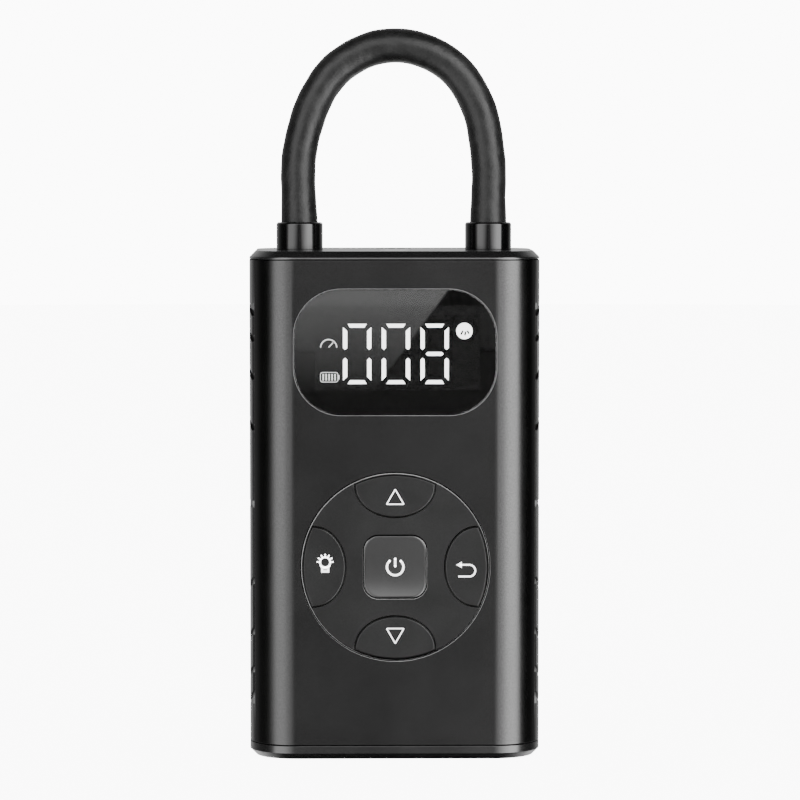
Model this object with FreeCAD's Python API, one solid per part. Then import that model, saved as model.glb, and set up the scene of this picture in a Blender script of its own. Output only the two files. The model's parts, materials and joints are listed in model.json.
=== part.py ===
"""Portable tyre inflator: a pocket compressor with a looped air hose.

Millimetres. The front faces -Y, +X is to the right, +Z is up. The origin is under the middle of the
foot pad, on the surface that the inflator stands on. The casing's width comes from the row of cells or
the row of motor and pump, whichever is longer, and its height from the stack of cells, gears, cylinder
and air outlet: 71 by 45.3 by 123.7 with the sizes below.
"""
import FreeCAD, Part
import math
import os

Vector = FreeCAD.Vector
X_AXIS = Vector(1, 0, 0)
Y_AXIS = Vector(0, 1, 0)
Z_AXIS = Vector(0, 0, 1)

# Casing
body_depth = 45.3
plan_radius = 11.5
wall = 2.0
foot_stand = 0.3
top_flange = 2.2
bottom_flange = 3.6
cap_bevel = 1.55
edge_bevel = 0.25
seam_height = 0.25
seam_depth = 0.45
lip_wall = 1.4
lip_clearance = 0.15
top_lip = 4.0
bottom_lip = 2.4
cap_floor = 2.0

# Foot pad under the bottom cap
foot_inset = 5.5
foot_seat = 0.9

# Tread grooves cut into both sides
groove_depth = 0.7
tread_depth = 32.8
tread_height = 98.2
border_groove = 1.3
bent_groove = 1.6
bent_rise = 0.52
bent_offsets = [18.1, 30.5, 39.8, 46.1]
mid_groove_length = 8.0

# Display window, set in the front
window_width = 49.1
window_height = 30.5
window_radius = 11.5
window_drop = 24.4
window_ledge = 1.6
window_gap = 0.1
lens_thickness = 1.2
lens_bevel = 0.3
mask_thickness = 0.15
view_width = 39.9
view_height = 18.3
view_corner = 0.25
view_shift = 0.6
module_border = 1.1
module_gap = 0.15
segment_sink = 0.3
digit_count = 3
digit_width = 7.0
digit_height = 14.7
digit_pitch = 9.33
digit_shift = 0.36
segment_stroke = 1.2
segment_gap = 0.2

# Round keypad
pad_radius = 22.6
pad_up = 47.2
pad_gap = 0.1
pad_thickness = 1.6
pad_ledge = 1.0
pad_edge_bevel = 0.2
key_gap = 0.15
key_flange = 0.7
key_flange_thickness = 0.6
key_travel = 0.45
key_reserve = 0.05
key_edge_bevel = 0.35
power_size = 15.2
power_radius = 3.4
power_drop = 0.25
power_proud = 0.25
power_dish_radius = 48.0
power_dish_depth = 0.6
side_key_reach = 19.9
side_key_half_width = 9.8
side_key_half_depth = 7.9
side_key_proud = 0.6
side_key_relief = 0.6
membrane_thickness = 0.6
membrane_rim = 1.0
membrane_overlap = 1.0
switch_size = 6.0
switch_body = 1.5
switch_plunger_radius = 1.7
switch_reach = 16.0

# Boards
board_side_room = 5.5
board_thickness = 1.2
board_bottom = 24.5
board_top_drop = 7.0
chip_thickness = 1.0
processor_size = 7.0
processor_up = 62.0
charger_size = 5.0
charger_x = 14.0
charger_up = 56.0
inductor_size = 6.0
inductor_height = 3.0
inductor_x = 15.0
inductor_up = 66.0
capacitor_radius = 3.0
capacitor_height = 5.5
capacitor_up = 106.0
capacitor_x = [-20.0, -13.0]
switch_height = 2.4
top_board_width = 26.0
top_board_depth = 25.0
top_board_thickness = 1.0
top_board_hang = 5.6
top_post_radius = 2.0
top_post_inset = 2.3

# Work light and charging socket in the top
light_y = -7.0
light_radius = 4.0
light_flange = 1.4
light_guide_radius = 3.0
light_gap = 0.1
led_size = 3.5
led_height = 1.6
usb_y = 7.0
usb_width = 8.94
usb_depth = 3.26
usb_shell = 0.3
usb_gap = 0.15
usb_sink = 0.2
usb_tongue_width = 6.7
usb_tongue_thickness = 0.7

# Hose and its two end fittings
port_inset = 12.2
hose_radius = 4.27
hose_bore = 2.6
hose_seat = 2.8
collar_radius = 5.73
collar_height = 6.75
collar_gap = 0.35
collar_bevel = 0.4
barb_gap = 0.05
barb_length = 2.5
fitting_bore = 1.0
nipple_radius = 4.0
nipple_length = 6.4
nipple_gap = 0.1
chuck_radius = 5.0
chuck_roof = 4.5
chuck_thread_radius = 3.9
chuck_thread_length = 8.5
chuck_seal_thickness = 1.5
chuck_seal_radius = 4.3
chuck_seal_bore = 1.6
valve_pin_radius = 0.8
valve_pin_sink = 0.3
pin_plate_radius = 2.2
pin_plate_thickness = 0.8
pin_hole_radius = 0.35
pin_hole_reach = 1.3
pin_hole_count = 4
pin_chamber_height = 0.7
socket_wall = 1.25
socket_gap = 0.15
socket_floor = 1.2
socket_room = 3.0
outlet_block_radius = 6.0
outlet_block_height = 7.6
outlet_seal_width = 1.2
outlet_seal_height = 1.0
outlet_pocket_radius = 2.8
outlet_pocket_floor = 1.0

# Battery pack
cell_radius = 9.2
cell_length = 65.2
cell_gap = 0.2
cell_floor_room = 4.3
cell_end_room = 0.7
pack_y = 3.0
holder_end_stand = 1.0
holder_wall = 0.8
holder_grip = 12.0
holder_cover = 1.0
tab_thickness = 0.2
tab_width = 8.0
post_radius = 2.5
post_inset = 4.5
lower_post_up = 30.0

# Pump frame
pump_y = 3.0
frame_plate = 2.0
frame_base = 2.0
frame_half_depth = 10.0
shelf_thickness = 2.5
bridge_height = 2.5
bridge_depth = 3.2
bridge_gap = 1.0
pump_side_room = 12.5

# Motor and gears
motor_radius = 12.2
motor_length = 30.0
motor_end_room = 2.5
motor_wall = 1.0
motor_cap = 3.0
motor_boss_radius = 3.0
motor_boss_length = 1.2
magnet_thickness = 1.5
magnet_length = 19.0
magnet_span = 140.0
armature_radius = 9.3
armature_slots = 5
armature_slot_width = 2.0
armature_slot_depth = 4.0
shaft_radius = 1.0
running_clearance = 0.05
gear_module = 0.6
gear_backlash = 0.12
gear_root_depth = 1.25
pressure_angle = 20.0
pinion_teeth = 11
gear_teeth = 44
gear_width = 4.0
gear_offset = 0.5
gear_hub_radius = 3.2
gear_base_gap = 0.6
gear_hole_radius = 2.4
gear_hole_reach = 8.6
gear_hole_count = 5
crank_throw = 4.5
crank_pin_radius = 1.5
axle_radius = 1.5
axle_head_radius = 2.6
axle_head_length = 0.8
crank_clearance = 0.3

# Piston, cylinder and head
rod_thickness = 3.2
rod_eye_radius = 3.6
rod_small_eye_radius = 2.5
rod_shank_width = 3.4
bore_radius = 6.5
cylinder_wall = 1.5
cylinder_length = 23.5
cylinder_above_pinion = 1.4
pump_square = 20.0
pump_square_radius = 3.0
cylinder_flange = 1.5
piston_length = 7.0
piston_gap = 0.3
piston_skirt = 1.2
piston_crown = 2.4
piston_head_gap = 0.8
wrist_gap = 0.4
wrist_pin_radius = 1.2
seal_down = 0.6
seal_height = 1.5
seal_depth = 0.9
gasket_thickness = 0.5
head_roof = 1.1
head_room = 1.9
valve_chamber_radius = 3.4
valve_chamber_floor = 1.0
valve_radius = 2.6
valve_thickness = 1.0
valve_lift = 0.8
valve_spring_radius = 2.0
valve_spring_wire = 0.3
valve_spring_closed = 1.6
valve_port_radius = 1.2
air_tube_radius = 1.6
air_tube_bore = 0.8
air_tube_bend = 2.0
air_tube_barb = 1.2
air_tube_side = 1.5
air_tube_riser = 1.0
sensor_size = 7.0
sensor_height = 3.4
sensor_port_radius = 1.2
sensor_port_seat = 1.5
sensor_way_radius = 0.5
sensor_up = 1.4

# Fasteners
screw_radius = 1.1
screw_head_radius = 2.0
screw_head_height = 1.3
screw_inset = 2.2
board_screw_length = 6.0
base_screw_x = 20.0
base_screw_y = 7.0
base_screw_length = 5.3
base_screw_head = 0.7
motor_screw_reach = 8.0

# Battery and pump stack, from the floor up
cap_floor_z = foot_stand + cap_floor
cell_pitch = 2 * cell_radius + cell_gap
cell_z = [cap_floor_z + cell_floor_room + cell_radius + index * cell_pitch for index in range(2)]
holder_half_width = cell_length / 2 - holder_end_stand
holder_half_depth = cell_radius + holder_wall
holder_top_z = cell_z[-1] + cell_radius + holder_cover
frame_base_z = holder_top_z + frame_base
gear_pitch_radius = gear_module * gear_teeth / 2
pinion_pitch_radius = gear_module * pinion_teeth / 2
crank_z = frame_base_z + gear_base_gap + gear_pitch_radius + gear_module
motor_z = crank_z + gear_pitch_radius + pinion_pitch_radius
bridge_z = motor_z + motor_radius + bridge_gap
shelf_z = motor_z + pinion_pitch_radius + gear_module + cylinder_above_pinion
shelf_top_z = shelf_z + shelf_thickness
cylinder_top_z = shelf_z + cylinder_length
stroke = 2 * crank_throw
crown_z = cylinder_top_z - piston_head_gap - stroke
piston_bottom_z = crown_z - piston_length
wrist_z = crown_z - piston_crown - rod_small_eye_radius - wrist_gap
seal_top_z = crown_z - seal_down
head_z = cylinder_top_z + gasket_thickness
valve_chamber_z = head_z + valve_chamber_floor
valve_chamber_height = valve_thickness + valve_lift + valve_spring_closed
head_top_z = valve_chamber_z + valve_chamber_height + head_roof
air_outlet_z = valve_chamber_z + valve_chamber_height / 2
outlet_block_z = head_top_z + head_room

# Casing levels and planes
seam_bottom_z = foot_stand + bottom_flange
seam_top_z = outlet_block_z + outlet_block_height
top_z = seam_top_z + top_flange
body_height = top_z - foot_stand
mid_z = foot_stand + body_height / 2
cell_row_width = cell_length + 2 * (tab_thickness + cell_end_room)
pump_row_width = motor_end_room + motor_length + frame_plate + pump_square + pump_side_room
inner_width = max(cell_row_width, pump_row_width)
body_width = inner_width + 2 * wall
front_y = -body_depth / 2
inner_front_y = front_y + wall
window_z = top_z - window_drop
window_recess = lens_thickness + mask_thickness
pad_z = foot_stand + pad_up
power_z = pad_z - power_drop
pad_back_y = front_y + pad_thickness
key_back_y = pad_back_y + key_flange_thickness
membrane_y = key_back_y + key_travel + key_reserve
switch_y = membrane_y + membrane_thickness
board_y = switch_y + switch_height
board_back_y = board_y + board_thickness
board_half_width = inner_width / 2 - board_side_room
board_top_z = top_z - board_top_drop
post_x = board_half_width - post_inset
top_board_z = seam_top_z - top_board_hang
sensor_z = outlet_block_z + sensor_up

# Ports, hose and chuck
port_x = body_width / 2 - port_inset
collar_top_z = top_z + collar_height
collar_bore = hose_radius + collar_gap
hose_end_z = top_z + hose_seat
barb_radius = hose_bore - barb_gap
tube_barb_radius = air_tube_bore - barb_gap
barb_top_z = hose_end_z + barb_length
chuck_seal_z = top_z - chuck_roof - chuck_seal_thickness
chuck_bottom_z = chuck_seal_z - chuck_thread_length
pin_plate_z = chuck_seal_z + chuck_seal_thickness
nipple_seat_z = top_z - nipple_length - outlet_seal_height
air_riser_x = port_x + air_tube_riser

# Motor, gears and piston along X
plate_left_x = -inner_width / 2 + motor_end_room + motor_length
plate_right_x = plate_left_x + frame_plate
pump_x = plate_right_x + pump_square / 2
pump_side_x = pump_x + pump_square / 2
gear_left_x = plate_right_x + gear_offset
gear_right_x = gear_left_x + gear_width
rod_left_x = pump_x - rod_thickness / 2
crank_pin_end_x = rod_left_x - crank_clearance
crank_pin_z = crank_z - crank_throw
piston_radius = bore_radius - piston_gap

# Route of the hose in the plane of the two ports, from the air outlet to the chuck: place across and
# height above the casing. Each bend takes this share of the shorter of its two runs.
bend_share = 0.45
hose_route = [
    (port_x, hose_seat),
    (port_x, 9.6),
    (23.6, 22.8),
    (21.1, 36.3),
    (13.7, 47.1),
    (0.2, 51.5),
    (-12.8, 47.0),
    (-20.2, 36.8),
    (-24.0, 22.3),
    (-port_x, 9.6),
    (-port_x, hose_seat),
]


def box(x0, x1, y0, y1, z0, z1):
    """Block between two corners."""
    return Part.makeBox(x1 - x0, y1 - y0, z1 - z0, Vector(x0, y0, z0))


def round_z(radius, z0, z1, x=0.0, y=0.0):
    """Upright cylinder."""
    return Part.makeCylinder(radius, z1 - z0, Vector(x, y, z0), Z_AXIS)


def round_x(radius, x0, x1, y, z):
    """Cylinder lying along X."""
    return Part.makeCylinder(radius, x1 - x0, Vector(x0, y, z), X_AXIS)


def round_y(radius, y0, y1, x, z):
    """Cylinder lying along Y."""
    return Part.makeCylinder(radius, y1 - y0, Vector(x, y0, z), Y_AXIS)


def join(shapes):
    """One solid out of pieces that meet."""
    return shapes[0].fuse(shapes[1:]).removeSplitter()


def rounded_rectangle(width, depth, radius, place):
    """Face with four corner arcs. place turns a point on the flat (u, v) into a point in space."""
    u = width / 2
    v = depth / 2
    edges = []
    corners = [(u, v, 0), (-u, v, 90), (-u, -v, 180), (u, -v, 270)]
    ends = []
    for corner_u, corner_v, start in corners:
        centre_u = corner_u - math.copysign(radius, corner_u)
        centre_v = corner_v - math.copysign(radius, corner_v)
        points = []
        for turn in (0, 45, 90):
            angle = math.radians(start + turn)
            point_u = centre_u + radius * math.cos(angle)
            point_v = centre_v + radius * math.sin(angle)
            points.append(place(point_u, point_v))
        edges.append(Part.Arc(*points).toShape())
        ends.append((points[0], points[-1]))
    sides = []
    for index, (first, last) in enumerate(ends):
        following = ends[(index + 1) % 4][0]
        sides.append(edges[index])
        if (last - following).Length > 1e-6:
            sides.append(Part.makeLine(last, following))
    return Part.Face(Part.Wire(sides))


def slab(width, depth, radius, z0, z1, x=0.0, y=0.0):
    """Rounded rectangle in plan, from z0 up to z1."""
    face = rounded_rectangle(width, depth, radius, lambda u, v: Vector(x + u, y + v, z0))
    return face.extrude(Vector(0, 0, z1 - z0))


def panel(width, height, radius, y0, y1, x, z):
    """Rounded rectangle seen from the front, from y0 back to y1."""
    face = rounded_rectangle(width, height, radius, lambda u, v: Vector(x + u, y0, z + v))
    return face.extrude(Vector(0, y1 - y0, 0))


def casing_plan(inset, z0, z1):
    """The casing's outline, drawn in by inset."""
    return slab(body_width - 2 * inset, body_depth - 2 * inset, plan_radius - inset, z0, z1)


def ring_section(outer, bore, place, direction):
    """Flat ring, square to a direction: the section of a hose or a tube."""
    rim = Part.Wire(Part.makeCircle(outer, place, direction))
    hole = Part.Wire(Part.makeCircle(bore, place, direction))
    return Part.Face(rim).cut(Part.Face(hole)).Faces[0]


def bent_tube(points, bends, outer, bore):
    """Tube of straight runs and tangent arcs, and its length. Each inner point has its bend radius."""
    spans = []
    start = points[0]
    length = 0.0
    for before, corner, after, radius in zip(points, points[1:], points[2:], bends):
        arriving = (corner - before).normalize()
        leaving = (after - corner).normalize()
        turn = arriving.getAngle(leaving)
        reach = radius * math.tan(turn / 2)
        arc_start = corner - arriving * reach
        axis = arriving.cross(leaving).normalize()
        centre = arc_start + axis.cross(arriving) * radius
        spans.append(ring_section(outer, bore, start, arriving).extrude(arc_start - start))
        bend_section = ring_section(outer, bore, arc_start, arriving)
        spans.append(bend_section.revolve(centre, axis, math.degrees(turn)))
        length += (arc_start - start).Length + radius * turn
        start = corner + leaving * reach
    last = points[-1] - start
    spans.append(ring_section(outer, bore, start, last).extrude(last))
    return spans[0].fuse(spans[1:]), length + last.Length


def level_edges(shape, z, tolerance=1e-4):
    """Edges that lie flat at height z."""
    return [edge for edge in shape.Edges
            if abs(edge.BoundBox.ZMin - z) < tolerance and abs(edge.BoundBox.ZMax - z) < tolerance]


def front_edges(shape, y, tolerance=1e-4):
    """Edges that lie in the upright plane at depth y."""
    return [edge for edge in shape.Edges
            if abs(edge.BoundBox.YMin - y) < tolerance and abs(edge.BoundBox.YMax - y) < tolerance]


# Casing: sleeve, two caps and the foot pad

def tread_grooves():
    """Prisms along X for the grooves of a side: one along each long border of the tread, bent ones
    across it, and a short level pair at mid height."""
    half_depth = tread_depth / 2
    half_height = tread_height / 2
    half_groove = bent_groove / 2
    peak = bent_rise * half_depth
    outlines = []
    for offset in bent_offsets:
        for up in (1, -1):
            low = offset - half_groove
            high = offset + half_groove
            outlines.append([
                (-half_depth, up * low),
                (0, up * (low + peak)),
                (half_depth, up * low),
                (half_depth, up * high),
                (0, up * (high + peak)),
                (-half_depth, up * high),
            ])
    for side in (1, -1):
        border = side * half_depth
        for length, half_width in ((border_groove, half_height), (mid_groove_length, half_groove)):
            end = border - side * length
            outlines.append([
                (border, half_width),
                (end, half_width),
                (end, -half_width),
                (border, -half_width),
            ])
    bands = []
    for outline in outlines:
        points = [Vector(-body_width, y, mid_z + z) for y, z in outline]
        face = Part.Face(Part.makePolygon(points + points[:1]))
        bands.append(face.extrude(Vector(2 * body_width, 0, 0)))
    return bands[0].fuse(bands[1:])


def housing_sleeve():
    sleeve = casing_plan(0, seam_bottom_z, seam_top_z).cut(casing_plan(wall, seam_bottom_z, seam_top_z))
    skin = casing_plan(0, seam_bottom_z, seam_top_z).cut(casing_plan(groove_depth, seam_bottom_z, seam_top_z))
    sleeve = sleeve.cut(skin.common(tread_grooves()))
    recess = panel(window_width + 2 * window_gap, window_height + 2 * window_gap,
                   window_radius + window_gap, front_y, front_y + window_recess, 0, window_z)
    opening = panel(window_width - 2 * window_ledge, window_height - 2 * window_ledge,
                    window_radius - window_ledge, front_y, inner_front_y, 0, window_z)
    pad_seat = round_y(pad_radius + pad_gap, front_y, pad_back_y, 0, pad_z)
    pad_opening = round_y(pad_radius - pad_ledge, front_y, inner_front_y, 0, pad_z)
    pad_bevel = Part.makeCone(pad_radius + pad_gap + pad_edge_bevel, pad_radius + pad_gap, pad_edge_bevel,
                              Vector(0, front_y, pad_z), Y_AXIS)
    return sleeve.cut([recess, opening, pad_seat, pad_opening, pad_bevel]).removeSplitter()


def seam_groove(z0, z1):
    """Shadow line cut round a cap where it meets the sleeve."""
    return casing_plan(0, z0, z1).cut(casing_plan(seam_depth, z0, z1))


def cap_lip(z0, z1):
    """Ring that plugs into the sleeve."""
    inset = wall + lip_clearance
    return casing_plan(inset, z0, z1).cut(casing_plan(inset + lip_wall, z0, z1))


def top_post_places():
    half_x = top_board_width / 2 - top_post_inset
    half_y = top_board_depth / 2 - top_post_inset
    return [(x, y) for x in (-half_x, half_x) for y in (-half_y, half_y)]


def top_cap():
    flange = casing_plan(0, seam_top_z, top_z)
    flange = flange.makeChamfer(cap_bevel, level_edges(flange, top_z))
    flange = flange.cut(seam_groove(seam_top_z, seam_top_z + seam_height))
    posts = [round_z(top_post_radius, top_board_z, seam_top_z, x, y) for x, y in top_post_places()]
    cap = join([flange, cap_lip(seam_top_z - top_lip, seam_top_z)] + posts)
    holes = [
        round_z(chuck_radius + socket_gap, seam_top_z, top_z, -port_x),
        round_z(nipple_radius + nipple_gap, seam_top_z, top_z, port_x),
        round_z(light_radius + light_gap, top_z - light_flange, top_z, 0, light_y),
        round_z(light_guide_radius + light_gap, seam_top_z, top_z, 0, light_y),
        slab(usb_width + 2 * usb_gap, usb_depth + 2 * usb_gap, usb_depth / 2 + usb_gap,
             seam_top_z, top_z, 0, usb_y),
    ]
    return cap.cut(holes)


def base_screw_places():
    return [(x, pack_y + y) for x in (-base_screw_x, base_screw_x) for y in (-base_screw_y, base_screw_y)]


def bottom_cap():
    flange = casing_plan(0, foot_stand, seam_bottom_z)
    flange = flange.makeChamfer(cap_bevel, level_edges(flange, foot_stand))
    flange = flange.cut(seam_groove(seam_bottom_z - seam_height, seam_bottom_z))
    inset = wall + lip_clearance
    cap = join([flange, cap_lip(seam_bottom_z, seam_bottom_z + bottom_lip)])
    cap = cap.cut(casing_plan(inset + lip_wall, cap_floor_z, seam_bottom_z))
    foot_room = slab(body_width - 2 * foot_inset, body_depth - 2 * foot_inset, plan_radius - foot_inset,
                     foot_stand, foot_seat)
    holes = [foot_room]
    for x, y in base_screw_places():
        holes.append(round_z(screw_radius, foot_seat, cap_floor_z, x, y))
        holes.append(round_z(screw_head_radius, foot_seat, foot_seat + base_screw_head, x, y))
    return cap.cut(holes)


def foot_pad():
    width = body_width - 2 * foot_inset
    depth = body_depth - 2 * foot_inset
    pad = slab(width, depth, plan_radius - foot_inset, 0, foot_seat)
    return pad.makeChamfer(edge_bevel, level_edges(pad, 0))


# Display: smoked window, black mask, module and its lit bars

def display_window():
    lens = panel(window_width, window_height, window_radius, front_y, front_y + lens_thickness, 0, window_z)
    return lens.makeChamfer(lens_bevel, front_edges(lens, front_y))


def display_mask():
    y0 = front_y + lens_thickness
    y1 = y0 + mask_thickness
    sheet = panel(window_width, window_height, window_radius, y0, y1, 0, window_z)
    view = panel(view_width, view_height, view_corner, y0, y1, view_shift, window_z)
    return sheet.cut(view)


def bar_segment(length, x, z, upright):
    """One bar with pointed ends, middle at x, z."""
    half = length / 2 - segment_gap
    side = segment_stroke / 2
    outline = [(-half, 0), (-half + side, side), (half - side, side), (half, 0),
               (half - side, -side), (-half + side, -side)]
    y = inner_front_y + module_gap
    points = []
    for along, across in outline:
        if upright:
            points.append(Vector(x + across, y, z + along))
        else:
            points.append(Vector(x + along, y, z + across))
    return Part.Face(Part.makePolygon(points + points[:1])).extrude(Vector(0, segment_sink, 0))


def display_segments():
    """Bars of the three digits, without the middle bar of the two noughts."""
    across = digit_width - segment_stroke
    along = (digit_height - segment_stroke) / 2
    bars = []
    for index in range(digit_count):
        x = digit_shift + (index - (digit_count - 1) / 2) * digit_pitch
        for row in (-1, 0, 1):
            if row == 0 and index < digit_count - 1:
                continue
            bars.append(bar_segment(across, x, window_z + row * along, False))
        for side in (-1, 1):
            for row in (-1, 1):
                bars.append(bar_segment(along, x + side * across / 2, window_z + row * along / 2, True))
    return Part.makeCompound(bars)


def display_module():
    block = panel(view_width + 2 * module_border, view_height + 2 * module_border, view_corner,
                  inner_front_y + module_gap, board_y, view_shift, window_z)
    return block.cut(display_segments())


# Keypad: fixed plate, five keys, membrane and switches

def side_key_profile(grow, clip_radius, y0, y1, angle):
    """Part of an ellipse that the keypad's circle cuts off, turned to the key's place."""
    ellipse = Part.Ellipse(Vector(0, y0, pad_z + side_key_reach), side_key_half_width + grow,
                           side_key_half_depth + grow)
    flat = Part.Face(Part.Wire(ellipse.toShape()))
    flat.rotate(Vector(0, y0, pad_z + side_key_reach), X_AXIS, 90)
    prism = flat.extrude(Vector(0, y1 - y0, 0))
    prism = prism.common(round_y(clip_radius, y0, y1, 0, pad_z))
    prism.rotate(Vector(0, 0, pad_z), Y_AXIS, angle)
    return prism


def side_key(angle):
    """Key at the rim: raised cap, body through the plate, and a flange behind it."""
    inner_clip = pad_radius - pad_ledge - 2 * key_gap
    outer_clip = pad_radius - key_gap
    face_y = front_y - side_key_proud
    relief_y = pad_back_y - side_key_relief
    cap = side_key_profile(0, outer_clip, face_y, relief_y, 0)
    cap = cap.makeChamfer(key_edge_bevel, front_edges(cap, face_y))
    body = side_key_profile(0, inner_clip, relief_y, pad_back_y, 0)
    flange = side_key_profile(key_flange, inner_clip, pad_back_y, key_back_y, 0)
    key = join([cap, body, flange])
    key.rotate(Vector(0, 0, pad_z), Y_AXIS, angle)
    return key


def power_button():
    face_y = front_y - power_proud
    cap = panel(power_size, power_size, power_radius, face_y, pad_back_y, 0, power_z)
    dish_centre = Vector(0, face_y - power_dish_radius + power_dish_depth, power_z)
    cap = cap.cut(Part.makeSphere(power_dish_radius, dish_centre))
    flange = panel(power_size + 2 * key_flange, power_size + 2 * key_flange, power_radius + key_flange,
                   pad_back_y, key_back_y, 0, power_z)
    return join([cap, flange])


def keypad_plate():
    plate = round_y(pad_radius, front_y, pad_back_y, 0, pad_z)
    openings = [panel(power_size + 2 * key_gap, power_size + 2 * key_gap, power_radius + key_gap,
                      front_y, pad_back_y, 0, power_z)]
    for angle in (0, 90, 180, 270):
        openings.append(side_key_profile(key_gap, pad_radius + pad_gap, front_y, pad_back_y, angle))
    return plate.cut(openings)


def switch_places():
    places = [(0, power_z)]
    for angle in (0, 90, 180, 270):
        x = switch_reach * math.sin(math.radians(angle))
        z = pad_z + switch_reach * math.cos(math.radians(angle))
        places.append((x, z))
    return places


def keypad_membrane():
    """Silicone sheet with a rim glued to the inside of the sleeve."""
    outer = pad_radius + membrane_overlap
    sheet = round_y(outer, membrane_y, switch_y, 0, pad_z)
    rim = round_y(outer, inner_front_y, membrane_y, 0, pad_z)
    rim = rim.cut(round_y(outer - membrane_rim, inner_front_y, membrane_y, 0, pad_z))
    return join([sheet, rim])


def tact_switches():
    half = switch_size / 2
    switches = []
    for x, z in switch_places():
        body = box(x - half, x + half, board_y - switch_body, board_y, z - half, z + half)
        plunger = round_y(switch_plunger_radius, switch_y, board_y - switch_body, x, z)
        switches.append(join([body, plunger]))
    return Part.makeCompound(switches)


# Boards

def board_post_places():
    return [
        (-post_x, foot_stand + lower_post_up),
        (post_x, foot_stand + lower_post_up),
        (-post_x, bridge_z + bridge_height / 2),
        (pump_x + post_radius, shelf_z + shelf_thickness / 2),
    ]


def main_board():
    board = box(-board_half_width, board_half_width, board_y, board_back_y,
                foot_stand + board_bottom, board_top_z)
    for x, z in board_post_places():
        board = board.cut(round_y(screw_radius, board_y, board_back_y, x, z))
    return board


def board_components():
    """Processor, two charger chips, inductor and electrolytic capacitors on the back of the board."""
    chips = [
        (0.0, processor_up, processor_size, chip_thickness),
        (charger_x, charger_up, charger_size, chip_thickness),
        (-charger_x, charger_up, charger_size, chip_thickness),
        (inductor_x, inductor_up, inductor_size, inductor_height),
    ]
    pieces = []
    for x, up, size, thickness in chips:
        z = foot_stand + up
        pieces.append(box(x - size / 2, x + size / 2, board_back_y, board_back_y + thickness,
                          z - size / 2, z + size / 2))
    for x in capacitor_x:
        pieces.append(round_y(capacitor_radius, board_back_y, board_back_y + capacitor_height,
                              x, foot_stand + capacitor_up))
    return Part.makeCompound(pieces)


def usb_board():
    half_x = top_board_width / 2
    half_y = top_board_depth / 2
    board = box(-half_x, half_x, -half_y, half_y, top_board_z - top_board_thickness, top_board_z)
    for x, y in top_post_places():
        board = board.cut(round_z(screw_radius, top_board_z - top_board_thickness, top_board_z, x, y))
    return board


def screw(tip, head, direction, head_height=screw_head_height):
    """Screw from its tip to the underside of its head."""
    length = (head - tip).Length
    shank = Part.makeCylinder(screw_radius, length, tip, direction)
    cap = Part.makeCylinder(screw_head_radius, head_height, head, direction)
    return join([shank, cap])


def board_screws():
    screws = []
    for x, z in board_post_places():
        head = Vector(x, board_y, z)
        screws.append(screw(head + Y_AXIS * board_screw_length, head, -Y_AXIS))
    return Part.makeCompound(screws)


def top_board_screws():
    screws = []
    for x, y in top_post_places():
        head = Vector(x, y, top_board_z - top_board_thickness)
        screws.append(screw(head + Z_AXIS * top_board_thickness, head, -Z_AXIS))
    return Part.makeCompound(screws)


# Work light and charging socket

def work_light_lens():
    flange = round_z(light_radius, top_z - light_flange, top_z, 0, light_y)
    guide = round_z(light_guide_radius, top_board_z + led_height, top_z - light_flange, 0, light_y)
    lens = join([flange, guide])
    return lens.makeChamfer(edge_bevel, level_edges(lens, top_z))


def work_light_led():
    half = led_size / 2
    return box(-half, half, light_y - half, light_y + half, top_board_z, top_board_z + led_height)


def usb_socket():
    """Upright receptacle: oval steel shell with the contact tongue inside."""
    z1 = top_z - usb_sink
    radius = usb_depth / 2
    shell = slab(usb_width, usb_depth, radius, top_board_z, z1, 0, usb_y)
    room = slab(usb_width - 2 * usb_shell, usb_depth - 2 * usb_shell, radius - usb_shell,
                top_board_z + usb_shell, z1, 0, usb_y)
    tongue = box(-usb_tongue_width / 2, usb_tongue_width / 2, usb_y - usb_tongue_thickness / 2,
                 usb_y + usb_tongue_thickness / 2, top_board_z + usb_shell, z1 - usb_shell)
    return join([shell.cut(room), tongue])


# Hose and its fittings

def hose():
    """Rubber hose with its bore."""
    points = [Vector(x, 0, top_z + rise) for x, rise in hose_route]
    bends = []
    for before, corner, after in zip(points, points[1:], points[2:]):
        arriving = corner - before
        leaving = after - corner
        reach = bend_share * min(arriving.Length, leaving.Length)
        bends.append(reach / math.tan(arriving.getAngle(leaving) / 2))
    tube, length = bent_tube(points, bends, hose_radius, hose_bore)
    section = math.pi * (hose_radius ** 2 - hose_bore ** 2)
    print("hose length", round(length, 2), "bend radii", [round(radius, 1) for radius in bends])
    print("hose volume", round(tube.Volume, 1), "section times length", round(section * length, 1))
    return tube


def end_collar(x):
    """Bright crimp collar: shoulder on the casing, cup round the hose end."""
    outside = round_z(collar_radius, top_z, collar_top_z, x)
    outside = outside.makeChamfer(collar_bevel, level_edges(outside, collar_top_z))
    cup = round_z(collar_bore, hose_end_z, collar_top_z, x)
    hole = round_z(barb_radius, top_z, hose_end_z, x)
    return outside.cut([cup, hole])


def outlet_nipple():
    """Threaded brass stub with the barb that the hose is pushed on."""
    thread = round_z(nipple_radius, top_z - nipple_length, top_z, port_x)
    barb = round_z(barb_radius, top_z, barb_top_z, port_x)
    bore = round_z(fitting_bore, top_z - nipple_length, barb_top_z, port_x)
    return join([thread, barb]).cut(bore)


def outlet_seal():
    z1 = nipple_seat_z + outlet_seal_height
    ring = round_z(nipple_radius, nipple_seat_z, z1, port_x)
    return ring.cut(round_z(nipple_radius - outlet_seal_width, nipple_seat_z, z1, port_x))


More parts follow.
